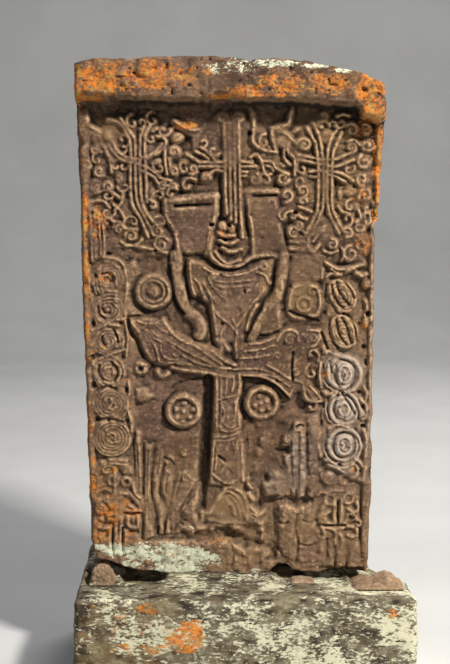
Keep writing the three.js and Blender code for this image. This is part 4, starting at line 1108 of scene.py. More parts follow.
@dataclass
class CornerCrosses:
    """The two small crosses with curled ends in the lower corners."""

    cords: Strands = (
        (8, (-394, 380, -366, 378, -340, 374)), (8, (-392, 367, -366, 366, -342, 362)),
        (9, (-378, 352, -377, 280, -376, 190, -377, 70)), (9, (-360, 270, -359, 190, -360, 70)),
        (9, (-350, 266, -325, 261, -300, 231, -299, 210)), (8, (-336, 228, -322, 222, -310, 214)),
        (9, (-436, 236, -420, 246, -400, 236, -389, 219)),
        (9, (-402, 192, -380, 196, -362, 186, -370, 177, -400, 178)),
        (8, (-350, 206, -322, 207, -296, 206)),
        (9, (-336, 188, -336, 162, -320, 152, -305, 156, -304, 190)),
        (9, (-446, 182, -440, 160, -420, 150, -394, 151)), (8, (-396, 140, -398, 100, -396, 62)),
        (8, (-344, 140, -344, 100, -342, 62)), (8, (-430, 130, -424, 100, -428, 70)),
        (8, (-438, 330, -430, 300, -436, 270)), (8, (-318, 300, -312, 270, -296, 252)),
        (9, (322, 274, 355, 277, 402, 270)), (10, (340, 240, 340, 160)), (10, (363, 244, 362, 160)),
        (9, (380, 180, 385, 195, 400, 198, 413, 180)),
        (9, (280, 141, 285, 120, 298, 114, 308, 125, 305, 141)),
        (10, (300, 151, 328, 150, 344, 138, 344, 88)), (9, (356, 132, 365, 119, 366, 84)),
        (9, (355, 146, 380, 156, 409, 150, 415, 131, 400, 119, 386, 126)),
        (9, (305, 224, 296, 208, 306, 196, 322, 204)), (9, (412, 236, 420, 214, 404, 204, 386, 214)),
        (8, (310, 168, 340, 165, 376, 168)), (8, (286, 262, 298, 272, 314, 268)),
    )
    rings: tuple[Line, ...] = (
        (-383, 310, 20), (-340, 306, 18), (325, 246, 21), (385, 250, 21), (-424, 212, 18),
    )
    scrolls: tuple[Line, ...] = ((-430, 214, 21, 30, 1.3), (300, 181, 18, 100, 1.3))
    lobes: tuple[Line, ...] = (
        (-415, 365, 16, 15, 0), (-428, 300, 12, 16, 0), (-290, 230, 8, 20, 0), (-424, 180, 12, 10, 0),
        (-320, 178, 9, 16, 0),
    )
    plates: Strands = (
        (-7, (-366, 356, -350, 330, -318, 325, -316, 346, -336, 370, -358, 372)),
        (-8, (-390, 50, -388, 140, -366, 140, -364, 50)), (-9, (-350, 50, -350, 130, -300, 130, -298, 50)),
        (-9, (-448, 60, -444, 130, -404, 130, -400, 60)), (-8, (346, 84, 374, 84, 378, 16, 344, 16)),
        (-8, (316, 110, 338, 104, 340, 16, 318, 16)), (-8, (386, 104, 420, 104, 432, 16, 388, 16)),
        (-8, (282, 108, 312, 112, 312, 22, 282, 24)),
        (-6, (430, 20, 428, 290, 432, 470, 448, 470, 452, 290, 450, 20)),
    )
    slots: Channels = (
        (7, -24, (-386, 56, -388, 100, -386, 150)), (7, -24, (-355, 60, -356, 100, -355, 150)),
        (7, -25, (-350, 200, -322, 200, -296, 200)), (7, -25, (310, 158, 340, 157, 376, 158)),
        (7, -25, (318, 112, 317, 80, 318, 48)), (7, -26, (343, 88, 344, 50, 345, 14)),
        (8, -26, (380, 92, 381, 50, 381, 12)), (6, -24, (352, 236, 352, 190, 352, 164)),
        (8, -26, (425, 110, 426, 180, 424, 300)),
    )

    def cut(self, face: Face) -> None:
        """Carves both crosses."""
        face.plates(self.plates, 7)
        face.lobes(self.lobes, -5)
        for x, z, radius in self.rings:
            face.ring(x, z, radius + 2, 14, 1, -4)
        face.scrolls(self.scrolls, 2, 10)
        face.cords(self.cords, 1.6, -3)
        face.slots(self.slots)


@dataclass
class Infill:
    """Small hooked tendrils that fill the ground still bare between the larger forms."""

    zones: tuple[Line, ...] = (
        (-300, 1275, 180, 215), (305, 1275, 165, 225), (-105, 1345, 66, 60), (115, 1340, 66, 90),
        (-395, 1090, 60, 60), (395, 1080, 60, 60), (-395, 215, 62, 165), (360, 165, 84, 150),
        (0, 1130, 34, 60), (-290, 905, 40, 60), (270, 905, 34, 60), (262, 640, 30, 90),
    )
    spacing: float = 29.0
    stray: float = 6.0
    sizes: tuple[float, float] = (13.0, 19.0)
    bare_below: float = -10.5
    seed: int = 17
    winding: float = 5.2
    hook: tuple[float, float, float] = (1.7, 0.95, 0.3)
    width: float = 9.5

    def cut(self, face: Face) -> None:
        """Lays a tendril wherever there is room for one."""
        draw = np.random.default_rng(self.seed)
        for x, z, across, up in self.zones:
            sites = [(i, j) for j in np.arange(z - up, z + up, self.spacing)
                     for i in np.arange(x - across, x + across, self.spacing)]
            for i, j in sites:
                i, j = i + draw.uniform(-self.stray, self.stray), j + draw.uniform(-self.stray, self.stray)
                size, start, way = draw.uniform(*self.sizes), draw.uniform(0, 360), draw.choice((-1.0, 1.0))
                part, reach = face.oval(i, j, size, size)
                low, high = np.percentile(face.height[part][reach < 0.85], (15, 90))
                bare = high < self.bare_below and low > face.ground - 4
                if bare and np.hypot((i - x) / across, (j - z) / up) < 1:
                    share = np.linspace(0, 1, 12)
                    angle = math.radians(start) + way * self.winding * share
                    reach = size * np.interp(share, (0, 0.3, 1), self.hook)
                    path = np.stack([i + reach * np.cos(angle), j + reach * np.sin(angle)], 1)
                    face.cord(tuple(path.ravel()), self.width, crest=-4)


@dataclass
class Damage:
    """What time has broken out of the face or rubbed off it."""

    hollows: Strands = (
        (-35, (-40, 146, -30, 122, 0, 108, 44, 84, 100, 88, 110, 98, 90, 108, 48, 120, 10, 138, -8, 150)),
        (-34, (-116, 128, -64, 130, -44, 146, -58, 110, -110, 106)),
        (-38, (78, 226, 110, 248, 152, 256, 150, 238, 118, 222, 96, 208)),
        (-36, (188, 250, 222, 246, 256, 252, 250, 232, 214, 226, 192, 232)),
        (-33, (136, 402, 140, 440, 156, 420, 190, 420, 188, 400, 160, 394)),
        (-32, (134, 462, 136, 514, 160, 506, 190, 514, 188, 470, 166, 460)),
    )
    sunk: Strands = (
        (-26, (110, 40, 110, 236, 60, 300, 56, 470, 130, 520, 160, 470, 160, 360, 112, 350, 112, 262,
            240, 246, 156, 232, 154, 90, 150, 40)), (-24, (440, 0, 290, 0, 290, 20, 440, 16)),
    )
    blocks: Strands = (
        (-6, (160, 224, 198, 232, 232, 212, 262, 226, 280, 258, 284, 160, 284, 12, 240, 8, 206, 26,
            170, 50, 158, 100)),
        (-8, (-150, 94, -60, 116, 0, 108, 50, 86, 98, 84, 104, 150, 108, 90, 116, 30, 60, 4, -60, 4,
            -150, 10)),
        (-4, (116, 262, 112, 306, 124, 334, 150, 350, 176, 336, 192, 300, 194, 262, 150, 252)),
        (-5, (254, 262, 250, 300, 262, 330, 282, 322, 292, 290, 284, 262, 266, 252)),
    )
    knolls: tuple[Line, ...] = (
        (142, 300, 24, 30, 10, 2), (120, 300, 14, 22, 0, -3), (172, 304, 16, 26, -20, -3),
        (96, 60, 34, 20, 0, -8), (84, 350, 18, 22, 0, -14),
        (80, 12, 26, 16, 0, -2), (108, 440, 16, 30, 0, -13),
        (96, 500, 18, 20, 0, -14), (90, 400, 14, 20, 0, -14),
    )
    curls: tuple[Line, ...] = (
        (184, 200, 20, 40, 1.2), (196, 134, 26, 200, -1.3), (250, 208, 22, 120, 1.2),
        (252, 132, 20, 300, -1.0), (186, 66, 18, 90, 1.0), (246, 62, 22, 30, 1.2), (-40, 74, 20, 60, 1.1),
        (40, 62, 18, 200, -1.0),
    )
    cracks: tuple[Line, ...] = (
        (218, 196, 212, 150, 222, 96, 214, 30), (236, 176, 262, 168, 282, 176), (230, 96, 256, 90, 280, 98),
        (160, 170, 176, 166, 190, 172), (-100, 96, -84, 60, -90, 20), (0, 100, 10, 60, 2, 16),
    )
    pits: tuple[Line, ...] = (
        (115, 316, 12, 14, -34), (66, 326, 6, 12, -30), (135, 374, 10, 8, -30), (70, 350, 7, 7, -28),
        (-150, 175, 8, 7, -28), (-160, 162, 7, 6, -28), (205, 1180, 8, 6, -28), (130, 1210, 7, 6, -20),
        (-5, 1140, 7, 7, -30), (-18, 1094, 6, 5, -30), (-35, 1077, 6, 5, -30),
        (-390, 1050, 9, 5, -30), (150, 640, 5, 6, -18), (64, 1174, 5, 5, -16), (-120, 1120, 5, 4, -14),
        (170, 760, 6, 5, -16), (184, 850, 7, 5, -20), (-60, 1142, 8, 7, -28), (330, 1270, 5, 8, -26),
        (20, 700, 6, 5, -14), (-210, 470, 5, 4, -18), (-440, 1180, 6, 6, -24), (100, 1100, 6, 5, -16),
        (230, 1030, 5, 5, -18), (-240, 1060, 6, 5, -24), (60, 1430, 7, 8, -30),
    )
    rubbed: tuple[Line, ...] = (
        (330, 720, 50, 26, 0.5, 20), (-400, 1010, 50, 40, 0.35, 0), (-400, 300, 60, 120, 0.3, 0),
        (0, 60, 120, 50, 0.7, 0), (-150, 420, 60, 100, 0.6, 0), (-250, 60, 190, 50, 0.6, 0),
        (350, 60, 110, 50, 0.5, 0), (-440, 600, 22, 500, 0.35, 0), (240, 1000, 60, 50, 0.7, 0),
        (250, 140, 50, 90, 0.8, 0), (-330, 930, 40, 90, 0.5, 0), (120, 450, 50, 60, 0.5, 0),
        (-60, 1400, 60, 60, 0.2, 0), (230, 740, 60, 60, 0.2, 0), (400, 1290, 60, 160, 0.2, 0),
        (0, 900, 70, 60, 0.3, 0), (100, 330, 60, 70, 0.5, 0), (270, 420, 60, 120, 0.3, 0),
    )
    crumbled: tuple[Line, ...] = (
        (60, 70, 230, 90), (150, 260, 80, 160), (-250, 50, 220, 60), (330, 40, 110, 40), (240, 240, 40, 40),
        (-140, 150, 60, 40),
    )
    chipped_edge: tuple[Line, ...] = (
        (1320, 470, 26, 10), (1180, 462, 34, 14), (1120, 455, 20, 8), (700, -470, 30, 7),
        (960, -474, 22, 6), (480, 460, 26, 6), (200, -458, 40, 8), (1400, -480, 24, 6), (330, 458, 30, 7),
        (820, 460, 18, 5),
    )
    chip_across: float = 26.0

    def cut(self, face: Face) -> None:
        """Breaks, rubs and roughens the carving."""
        for zone in self.rubbed:
            face.wear(*zone)
        for level, outline in self.sunk:
            face.sink(outline, level, 10)
        face.plates(self.blocks, 14, 4)
        face.scrolls(self.curls, width=10)
        for line in self.cracks:
            face.groove(line, 12, 7)
        for knoll in self.knolls:
            face.lobe(*knoll)
        for level, outline in self.hollows:
            face.sink(outline, level, 16)
        face.pits(self.pits)
        broken = np.zeros(face.x.shape)
        for x, z, across, up in self.crumbled:
            reach = np.hypot((face.x - x) / across, (face.z - z) / up)
            broken = np.maximum(broken, 1 - ease(0.5, 1.3, reach))
        face.height += broken * (4.5 * face.noise(30, 37) - 3.0 * face.wriggle(22, 38))
        for z, x, length, depth in self.chipped_edge:
            part, out = face.oval(x, z, self.chip_across, length)
            face.height[part] -= depth * 2 * (1 - ease(0.2, 1.1, out))


# Colour laid on the stone


@dataclass(frozen=True)
class Growth:
    """Where lichen, dust and fresh surfaces lie on the face: each an x, z, across, up and amount."""

    dustiness: float = 0.6
    orange: tuple[Line, ...] = (
        (-400, 1600, 120, 60, 0.56), (-240, 1600, 100, 60, 0.48), (-130, 1606, 70, 40, 0.42),
        (150, 1570, 110, 50, 0.5), (60, 1550, 90, 30, 0.46), (290, 1580, 100, 40, 0.44),
        (430, 1560, 60, 70, 0.58), (440, 1490, 50, 60, 0.7), (462, 1400, 26, 90, 0.66),
        (466, 1280, 22, 120, 0.7), (464, 1170, 22, 60, 0.7), (420, 1440, 60, 50, 0.5),
        (455, 1040, 16, 90, 0.45), (-478, 1580, 20, 80, 0.9), (-470, 1380, 16, 120, 0.4),
        (-466, 1160, 24, 110, 0.85), (-430, 1150, 50, 80, 0.55), (-462, 980, 20, 110, 0.75),
        (-400, 980, 40, 50, 0.45), (-460, 760, 18, 120, 0.6), (-440, 736, 12, 8, 0.8),
        (-410, 752, 12, 8, 0.7), (-458, 520, 20, 120, 0.5), (-452, 330, 22, 90, 0.72),
        (-420, 300, 44, 90, 0.5), (-400, 200, 60, 90, 0.5), (-330, 200, 50, 60, 0.4),
        (-380, 346, 30, 14, 0.7), (-420, 130, 50, 60, 0.56), (-330, 110, 60, 40, 0.5),
        (-140, 1452, 44, 16, 0.9), (-200, 80, 60, 40, 0.4), (308, 660, 12, 14, 0.9),
        (400, 346, 12, 12, 1.0), (430, 945, 12, 14, 0.9), (430, 820, 14, 14, 0.9), (420, 1080, 40, 60, 0.5),
        (-330, 640, 12, 10, 0.6), (-350, 700, 12, 10, 0.5), (300, 190, 16, 20, 0.5),
        (220, 700, 10, 10, 0.6), (-40, 108, 60, 20, 0.4), (-290, 40, 60, 20, 0.4),
        (-30, 1110, 60, 60, 0.35), (-100, 1300, 60, 60, 0.3), (410, 1240, 50, 50, 0.4),
        (-30, 1540, 60, 12, 0.7), (-440, 1535, 60, 12, 0.6),
    )
    ochre: tuple[Line, ...] = (
        (300, 1400, 170, 110, 0.7), (300, 1240, 150, 110, 0.6), (110, 1330, 100, 80, 0.5),
        (-200, 1520, 150, 30, 0.5), (300, 1500, 150, 30, 0.8), (60, 1500, 60, 40, 0.4),
        (-60, 1330, 100, 60, 0.5), (130, 960, 40, 90, 0.7), (80, 850, 50, 60, 0.55),
        (230, 900, 90, 80, 0.6), (350, 920, 90, 80, 0.65), (360, 800, 90, 70, 0.6), (0, 230, 110, 70, 0.6),
        (40, 120, 120, 60, 0.75), (0, 60, 160, 60, 0.7), (-60, 420, 50, 90, 0.4),
        (350, 170, 110, 110, 0.45), (220, 120, 70, 80, 0.4), (-190, 320, 90, 120, 0.35),
        (-140, 940, 40, 80, 0.35), (-240, 930, 60, 60, 0.35), (-388, 560, 80, 80, 0.4),
        (-388, 440, 80, 80, 0.4), (-380, 1440, 80, 50, 0.45), (-290, 1140, 90, 70, 0.4),
        (60, 400, 50, 90, 0.35), (240, 1030, 90, 60, 0.4), (-300, 780, 60, 60, 0.3),
        (100, 620, 90, 40, 0.35), (290, 40, 120, 40, 0.4),
    )
    pale: tuple[Line, ...] = (
        (-380, 76, 66, 34, 0.9), (-300, 66, 70, 46, 0.95), (-210, 60, 90, 56, 1.0),
        (-120, 50, 80, 50, 0.95), (-60, 40, 50, 34, 0.7), (-426, 86, 34, 18, 0.85),
        (-180, 12, 120, 26, 0.95), (-330, 26, 60, 20, 0.8), (-130, 152, 14, 14, 0.8),
        (-240, 118, 20, 10, 0.6), (20, 1630, 70, 34, 0.55), (110, 1640, 60, 20, 0.6),
        (170, 1640, 60, 12, 0.7), (260, 1632, 60, 10, 0.75), (340, 1618, 50, 10, 0.7),
        (-60, 1624, 60, 30, 0.45), (84, 4, 24, 16, 0.8), (20, 6, 40, 10, 0.4),
    )
    grey: tuple[Line, ...] = (
        (362, 670, 80, 74, 1.0), (370, 548, 74, 66, 1.0), (368, 428, 80, 76, 0.9), (365, 350, 60, 30, 0.5),
        (262, 440, 30, 100, 0.45), (225, 380, 50, 130, 0.55), (440, 500, 20, 200, 0.3),
        (150, 300, 50, 60, 0.3), (-150, 540, 50, 50, 0.15),
    )

    def lay(self, face: Face) -> None:
        """Lays every patch on the face."""
        for kind, patches in ((Tint.ORANGE, self.orange), (Tint.OCHRE, self.ochre), (Tint.PALE, self.pale),
                              (Tint.GREY, self.grey)):
            for x, z, across, up, amount in patches:
                face.tint(kind, x, z, across, up, amount * (self.dustiness if kind is Tint.OCHRE else 1.0))
        head = ease(1515, 1545, face.z)
        face.tints[Tint.ORANGE] += 0.3 + 0.12 * face.noise(110, 91) + 0.16 * head
        face.tints[Tint.OCHRE] += 0.1 + 0.2 * face.noise(80, 92)
        face.tints[Tint.PALE] += 0.12 + 0.1 * face.noise(90, 93) + 0.1 * head


# Shader nodes


class Graph:
    """Lays out the nodes of one material or node group."""

    def __init__(self, tree: bpy.types.NodeTree) -> None:
        """Starts from an empty tree."""
        self.tree = tree
        tree.nodes.clear()

    def node(self, kind: str, inputs: dict[str | int, object] | None = None,
             **settings: object) -> bpy.types.Node:
        """Adds a node.

        Args:
            kind: The node's type, without its leading ShaderNode.
            inputs: Values or output sockets for its inputs, by name or number.
            settings: Its own settings.

        Returns:
            The node.
        """
        made = self.tree.nodes.new(kind if kind.startswith("Node") else f"ShaderNode{kind}")
        for name, value in settings.items():
            setattr(made, name, value)
        for key, value in (inputs or {}).items():
            if isinstance(value, bpy.types.NodeSocket):
                self.tree.links.new(value, made.inputs[key])
            else:
                made.inputs[key].default_value = value
        return made

    def maths(self, operation: str, *values: object) -> bpy.types.NodeSocket:
        """One sum on values or sockets."""
        return self.node("Math", dict(enumerate(values)), operation=operation).outputs[0]

    def times(self, one: object, other: object) -> bpy.types.NodeSocket:
        """One value or socket times another."""
        return self.maths("MULTIPLY", one, other)

    def blend(self, share: object, low: object, high: object) -> bpy.types.NodeSocket:
        """Mixes two colours."""
        return self.node("Mix", {0: share, 6: low, 7: high}, data_type="RGBA", blend_type="MIX",
                         clamp_factor=True).outputs[2]

    def rise(self, value: object, low: object, high: object, start: object = 0.0,
             end: object = 1.0) -> bpy.types.NodeSocket:
        """Maps a value smoothly from one range to another."""
        return self.node("MapRange", {0: value, 1: low, 2: high, 3: start, 4: end},
                         interpolation_type="SMOOTHSTEP").outputs[0]

    def speckle(self, place: object, scale: object, detail: float = 4.0, rough: float = 0.55,
                bend: float = 0.0) -> bpy.types.NodeSocket:
        """A noise value."""
        return self.node("TexNoise", {"Vector": place, "Scale": scale, "Detail": detail, "Roughness": rough,
                                      "Distortion": bend}).outputs[0]

    def places(self) -> bpy.types.NodeSocket:
        """The object's own places."""
        return self.node("TexCoord").outputs["Object"]

    def close(self, shader: bpy.types.Node, output: str = "OutputMaterial") -> None:
        """Joins a shader to the output."""
        self.tree.links.new(shader.outputs[0], self.node(output).inputs["Surface"])

    def mask(self, tint: Tint) -> bpy.types.NodeSocket:
        """Reads one of the masks kept on the mesh."""
        return self.node("Attribute", attribute_name=tint.value, attribute_type="GEOMETRY").outputs["Fac"]


def shader_group(name: str, inputs: dict[str, object], outputs: dict[str, str]) -> tuple[Graph, dict, dict]:
    """Starts a shader node group.

    Args:
        name: Its name.
        inputs: Its input sockets and their first values: a number, or a colour of four.
        outputs: Its output sockets and their kinds.

    Returns:
        The graph, its input sockets inside, and the sockets that its results go to.
    """
    tree = bpy.data.node_groups.new(name, "ShaderNodeTree")
    graph = Graph(tree)
    for label, value in inputs.items():
        kind = "NodeSocketFloat" if isinstance(value, (int, float)) else "NodeSocketColor"
        made = tree.interface.new_socket(label, in_out="INPUT", socket_type=kind)
        made.default_value = value
    for label, kind in outputs.items():
        tree.interface.new_socket(label, in_out="OUTPUT", socket_type=kind)
    entry, result = graph.node("NodeGroupInput"), graph.node("NodeGroupOutput")
    return graph, {s.name: s for s in entry.outputs}, {s.name: s for s in result.inputs}


def drawn_out(graph: Graph, narrowing: object) -> bpy.types.NodeSocket:
    """The object's own places, squeezed sideways so that what is laid on them is drawn out."""
    narrow = graph.node("CombineXYZ", {0: narrowing, 1: 1.0, 2: 1.0}).outputs[0]
    return graph.node("VectorMath", {0: graph.places(), 1: narrow},
                      operation="MULTIPLY").outputs[0]


def colour(red: int, green: int, blue: int) -> Colour:
    """A screen colour from 0 to 255 as a linear one."""
    def linear(value: int) -> float:
        """One channel."""
        share = value / 255
        return share / 12.92 if share <= 0.04045 else ((share + 0.055) / 1.055) ** 2.4
    return (linear(red), linear(green), linear(blue), 1.0)


class Effects:
    """The shader groups that the stones share, each built once."""

    def __init__(self) -> None:
        """Builds the groups."""
        self.mottle = self.build_mottle()
        self.growth = self.build_growth()
        self.relief = self.build_relief()
        self.surface = self.build_surface()

    @staticmethod
    def build_mottle() -> bpy.types.NodeTree:
        """Stone colour that drifts between three tones in patches and grains."""
        graph, given, result = shader_group(
            "stone_mottle",
            {"Patch Scale": 6.0, "Grain Scale": 160.0, "Dark": colour(90, 66, 56),
             "Middle": colour(120, 90, 75), "Light": colour(150, 118, 96), "Narrowing": 1.0},
            {"Color": "NodeSocketColor", "Patches": "NodeSocketFloat"})
        place = drawn_out(graph, given["Narrowing"])
        patches = graph.speckle(place, given["Patch Scale"], 5, 0.6, 0.4)
        grains = graph.speckle(place, given["Grain Scale"], 3, 0.7)
        body = graph.blend(graph.rise(patches, 0.36, 0.66), given["Dark"], given["Middle"])
        lit = graph.blend(graph.times(graph.rise(grains, 0.52, 0.66), 0.55), body, given["Light"])
        dotted = graph.blend(graph.times(graph.rise(grains, 0.47, 0.36), 0.8), lit, given["Dark"])
        graph.tree.links.new(dotted, result["Color"])
        graph.tree.links.new(patches, result["Patches"])
        return graph.tree

    @staticmethod
    def build_growth() -> bpy.types.NodeTree:
        """Ragged islands of lichen that close up as the cover rises."""
        graph, given, result = shader_group(
            "lichen_growth", {"Cover": 0.5, "Scale": 40.0, "Softness": 0.06, "Narrowing": 1.0},
            {"Mask": "NodeSocketFloat"})
        place = drawn_out(graph, given["Narrowing"])
        broad = graph.speckle(place, given["Scale"], 5, 0.68, 0.6)
        fine = graph.speckle(place, graph.times(given["Scale"], 3.3), 3, 0.65)
        islands = graph.maths("ADD", graph.times(broad, 0.5), graph.times(fine, 0.5))
        limit = graph.node("MapRange", {0: given["Cover"], 1: 0.0, 2: 1.0, 3: 0.70, 4: 0.40}).outputs[0]
        mask = graph.rise(islands, limit, graph.maths("ADD", limit, given["Softness"]))
        graph.tree.links.new(mask, result["Mask"])
        return graph.tree

    @staticmethod
    def build_relief() -> bpy.types.NodeTree:
        """Carving with painted highlights on its ridges, partly as pale wear, and painted shade in its
        recesses.
        """
        graph, given, result = shader_group(
            "relief_wear_highlight_and_shade",
            {"Color": colour(120, 90, 75), "Ridge": 0.0, "Recess": 0.0,
             "Ridge Color": colour(190, 150, 110), "Recess Color": colour(50, 38, 28)},
            {"Color": "NodeSocketColor"})
        place = graph.places()
        # The painted ridge highlight is broken up by noise; the painted recess shade darkens the colour.
        broken = graph.rise(graph.speckle(place, 70.0, 4, 0.65), 0.3, 0.62)
        ridge = graph.times(given["Ridge"], broken)
        dark = graph.blend(given["Recess"], given["Color"], given["Recess Color"])
        graph.tree.links.new(graph.blend(ridge, dark, given["Ridge Color"]), result["Color"])
        return graph.tree

    @staticmethod
    def build_surface() -> bpy.types.NodeTree:
        """Grain and small holes as a height for bump."""
        graph, given, result = shader_group(
            "pitted_surface", {"Grain Scale": 220.0, "Hole Scale": 90.0, "Holes": 0.5},
            {"Height": "NodeSocketFloat"})
        place = graph.places()
        grains = graph.speckle(place, given["Grain Scale"], 5, 0.7)
        cells = graph.node("TexVoronoi", {"Vector": place,
                                            "Scale": given["Hole Scale"]}).outputs["Distance"]
        holes = graph.times(graph.rise(cells, 0.32, 0.05), given["Holes"])
        graph.tree.links.new(graph.maths("SUBTRACT", grains, holes), result["Height"])
        return graph.tree


@dataclass(frozen=True)
class Stone:
    """A weathered stone finish: its tones, its painted highlight and shade colours, what grows on it and
    how rough it is.
    """

    name: str
    dark: Colour
    middle: Colour
    light: Colour
    # Painted highlight colour for the ridges and painted shade colour for the recesses.
    ridge: Colour
    recess: Colour
    orange: Colour = colour(200, 116, 36)
    rust: Colour = colour(138, 84, 44)
    mustard: Colour = colour(168, 128, 62)
    ochre: Colour = colour(132, 104, 50)
    pale: Colour = colour(196, 198, 172)
    grey: Colour = colour(176, 164, 152)
    patch_scale: float = 7.0
    grain_scale: float = 130.0
    lichen_scale: float = 42.0
    narrowing: float = 1.0
    bump: float = 0.5
    holes: float = 0.35
    roughness: float = 0.93

    def material(self, effects: Effects) -> bpy.types.Material:
        """Builds the finish."""
        made = bpy.data.materials.new(self.name)
        made.use_nodes = True
        graph = Graph(made.node_tree)
        mottle = graph.node("Group", {
            "Patch Scale": self.patch_scale, "Grain Scale": self.grain_scale, "Dark": self.dark,
            "Middle": self.middle, "Light": self.light, "Narrowing": self.narrowing,
        }, node_tree=effects.mottle)
        stained = graph.blend(graph.times(graph.mask(Tint.OCHRE), mottle.outputs["Patches"]),
                              mottle.outputs["Color"], self.ochre)
        # Painted highlights on the ridges and painted shade in the recesses, over the stone's own colour.
        relief = graph.node("Group", {
            "Color": stained, "Ridge": graph.mask(Tint.RIDGE), "Recess": graph.mask(Tint.RECESS),
            "Ridge Color": self.ridge, "Recess Color": self.recess,
        }, node_tree=effects.relief)
        # Bare grey shows most where the ridge highlight is painted.
        grey_ridge = graph.times(graph.mask(Tint.GREY),
                                 graph.maths("MULTIPLY_ADD", graph.mask(Tint.RIDGE), 0.8, 0.12))
        bare = graph.blend(grey_ridge, relief.outputs["Color"], self.grey)
        pale = graph.node("Group", {
            "Cover": graph.mask(Tint.PALE), "Scale": self.lichen_scale * 1.3, "Softness": 0.08,
            "Narrowing": self.narrowing,
        }, node_tree=effects.growth).outputs["Mask"]
        frosted = graph.blend(pale, bare, self.pale)
        orange = graph.node("Group", {
            "Cover": graph.mask(Tint.ORANGE), "Scale": self.lichen_scale, "Softness": 0.11,
            "Narrowing": self.narrowing,
        }, node_tree=effects.growth).outputs["Mask"]
        place = graph.places()
        hue = graph.blend(graph.rise(graph.speckle(place, 95.0, 3), 0.35, 0.6), self.rust, self.orange)
        hue = graph.blend(graph.rise(graph.speckle(place, 48.0, 4), 0.5, 0.62), hue, self.mustard)
        grown = graph.blend(graph.times(orange, 0.88), frosted, hue)
        surface = graph.node("Group", {
            "Grain Scale": self.grain_scale * 1.6, "Hole Scale": 105.0, "Holes": self.holes,
        }, node_tree=effects.surface).outputs["Height"]
        bump = graph.node("Bump", {"Strength": self.bump, "Distance": 0.003,
                                   "Height": surface}).outputs["Normal"]
        rough = graph.rise(orange, 0.0, 1.0, self.roughness, 0.98)
        shader = graph.node("BsdfPrincipled", {"Base Color": grown, "Roughness": rough, "Normal": bump,
                                               "Specular IOR Level": 0.25})
        graph.close(shader)
        return made


TUFF = Stone("carved_rose_tuff", colour(72, 54, 44), colour(108, 84, 68), colour(146, 116, 92),
             colour(180, 148, 114), colour(34, 26, 18), grain_scale=95.0, narrowing=0.7)
BASALT = Stone("lichened_base_stone", colour(76, 68, 58), colour(124, 119, 100), colour(160, 158, 136),
               colour(196, 194, 168), colour(48, 42, 36), orange=colour(222, 130, 26),
               rust=colour(150, 84, 34), pale=colour(208, 204, 174), patch_scale=9.0,
               grain_scale=60.0, lichen_scale=34.0, narrowing=0.5, bump=0.7)
SPALL = Stone("packing_spall", colour(126, 102, 82), colour(172, 144, 116), colour(204, 178, 146),
              colour(214, 190, 160), colour(60, 48, 38), bump=0.5)


# Meshes


def linked(name: str, data: bpy.types.ID) -> bpy.types.Object:
    """A new object in the scene."""
    made = bpy.data.objects.new(name, data)
    bpy.context.scene.collection.objects.link(made)
    return made


def smooth_mesh(name: str, points: np.ndarray, faces: list[tuple[int, ...]]) -> bpy.types.Object:
    """A linked mesh object with smooth faces, from places in millimetres."""
    mesh = bpy.data.meshes.new(name)
    mesh.from_pydata((points * MM).tolist(), [], faces)
    mesh.validate()
    mesh.polygons.foreach_set("use_smooth", [True] * len(mesh.polygons))
    return linked(name, mesh)


def thinned(piece: bpy.types.Object, triangles: int) -> bpy.types.Object:
    """Brings a mesh down to about so many triangles, and applies it."""
    now = sum(len(p.vertices) - 2 for p in piece.data.polygons)
    if now > triangles:
        cut = piece.modifiers.new("thin", "DECIMATE")
        cut.ratio = triangles / now
        shown = piece.evaluated_get(bpy.context.evaluated_depsgraph_get())
        mesh = bpy.data.meshes.new_from_object(shown)
        piece.modifiers.clear()
        old, piece.data = piece.data, mesh
        bpy.data.meshes.remove(old)
        mesh.name = piece.name
    piece.data.polygons.foreach_set("use_smooth", [True] * len(piece.data.polygons))
    return piece


def places(piece: bpy.types.Object) -> np.ndarray:
    """A mesh's points, in millimetres."""
    found = np.zeros(3 * len(piece.data.vertices))
    piece.data.vertices.foreach_get("co", found)
    return found.reshape(-1, 3) / MM


def roughened(piece: bpy.types.Object, bulge: np.ndarray, foot: float) -> None:
    """Moves a mesh's points out along their normals, none of them below its foot.

    Args:
        piece: The mesh.
        bulge: How far each point goes, in millimetres.
        foot: The height of its underside, in millimetres.
    """
    normals = np.zeros(3 * len(piece.data.vertices))
    piece.data.vertices.foreach_get("normal", normals)
    spots = places(piece) + normals.reshape(-1, 3) * bulge[:, None]
    spots[:, 2] = np.maximum(spots[:, 2], foot)
    piece.data.vertices.foreach_set("co", (spots * MM).ravel())
    piece.data.update()


def keep_tint(piece: bpy.types.Object, tint: Tint, values: np.ndarray) -> None:
    """Keeps a mask on a mesh's points."""
    layer = piece.data.attributes.new(tint.value, "FLOAT", "POINT")
    layer.data.foreach_set("value", np.clip(values, 0, 1).astype(np.float32))


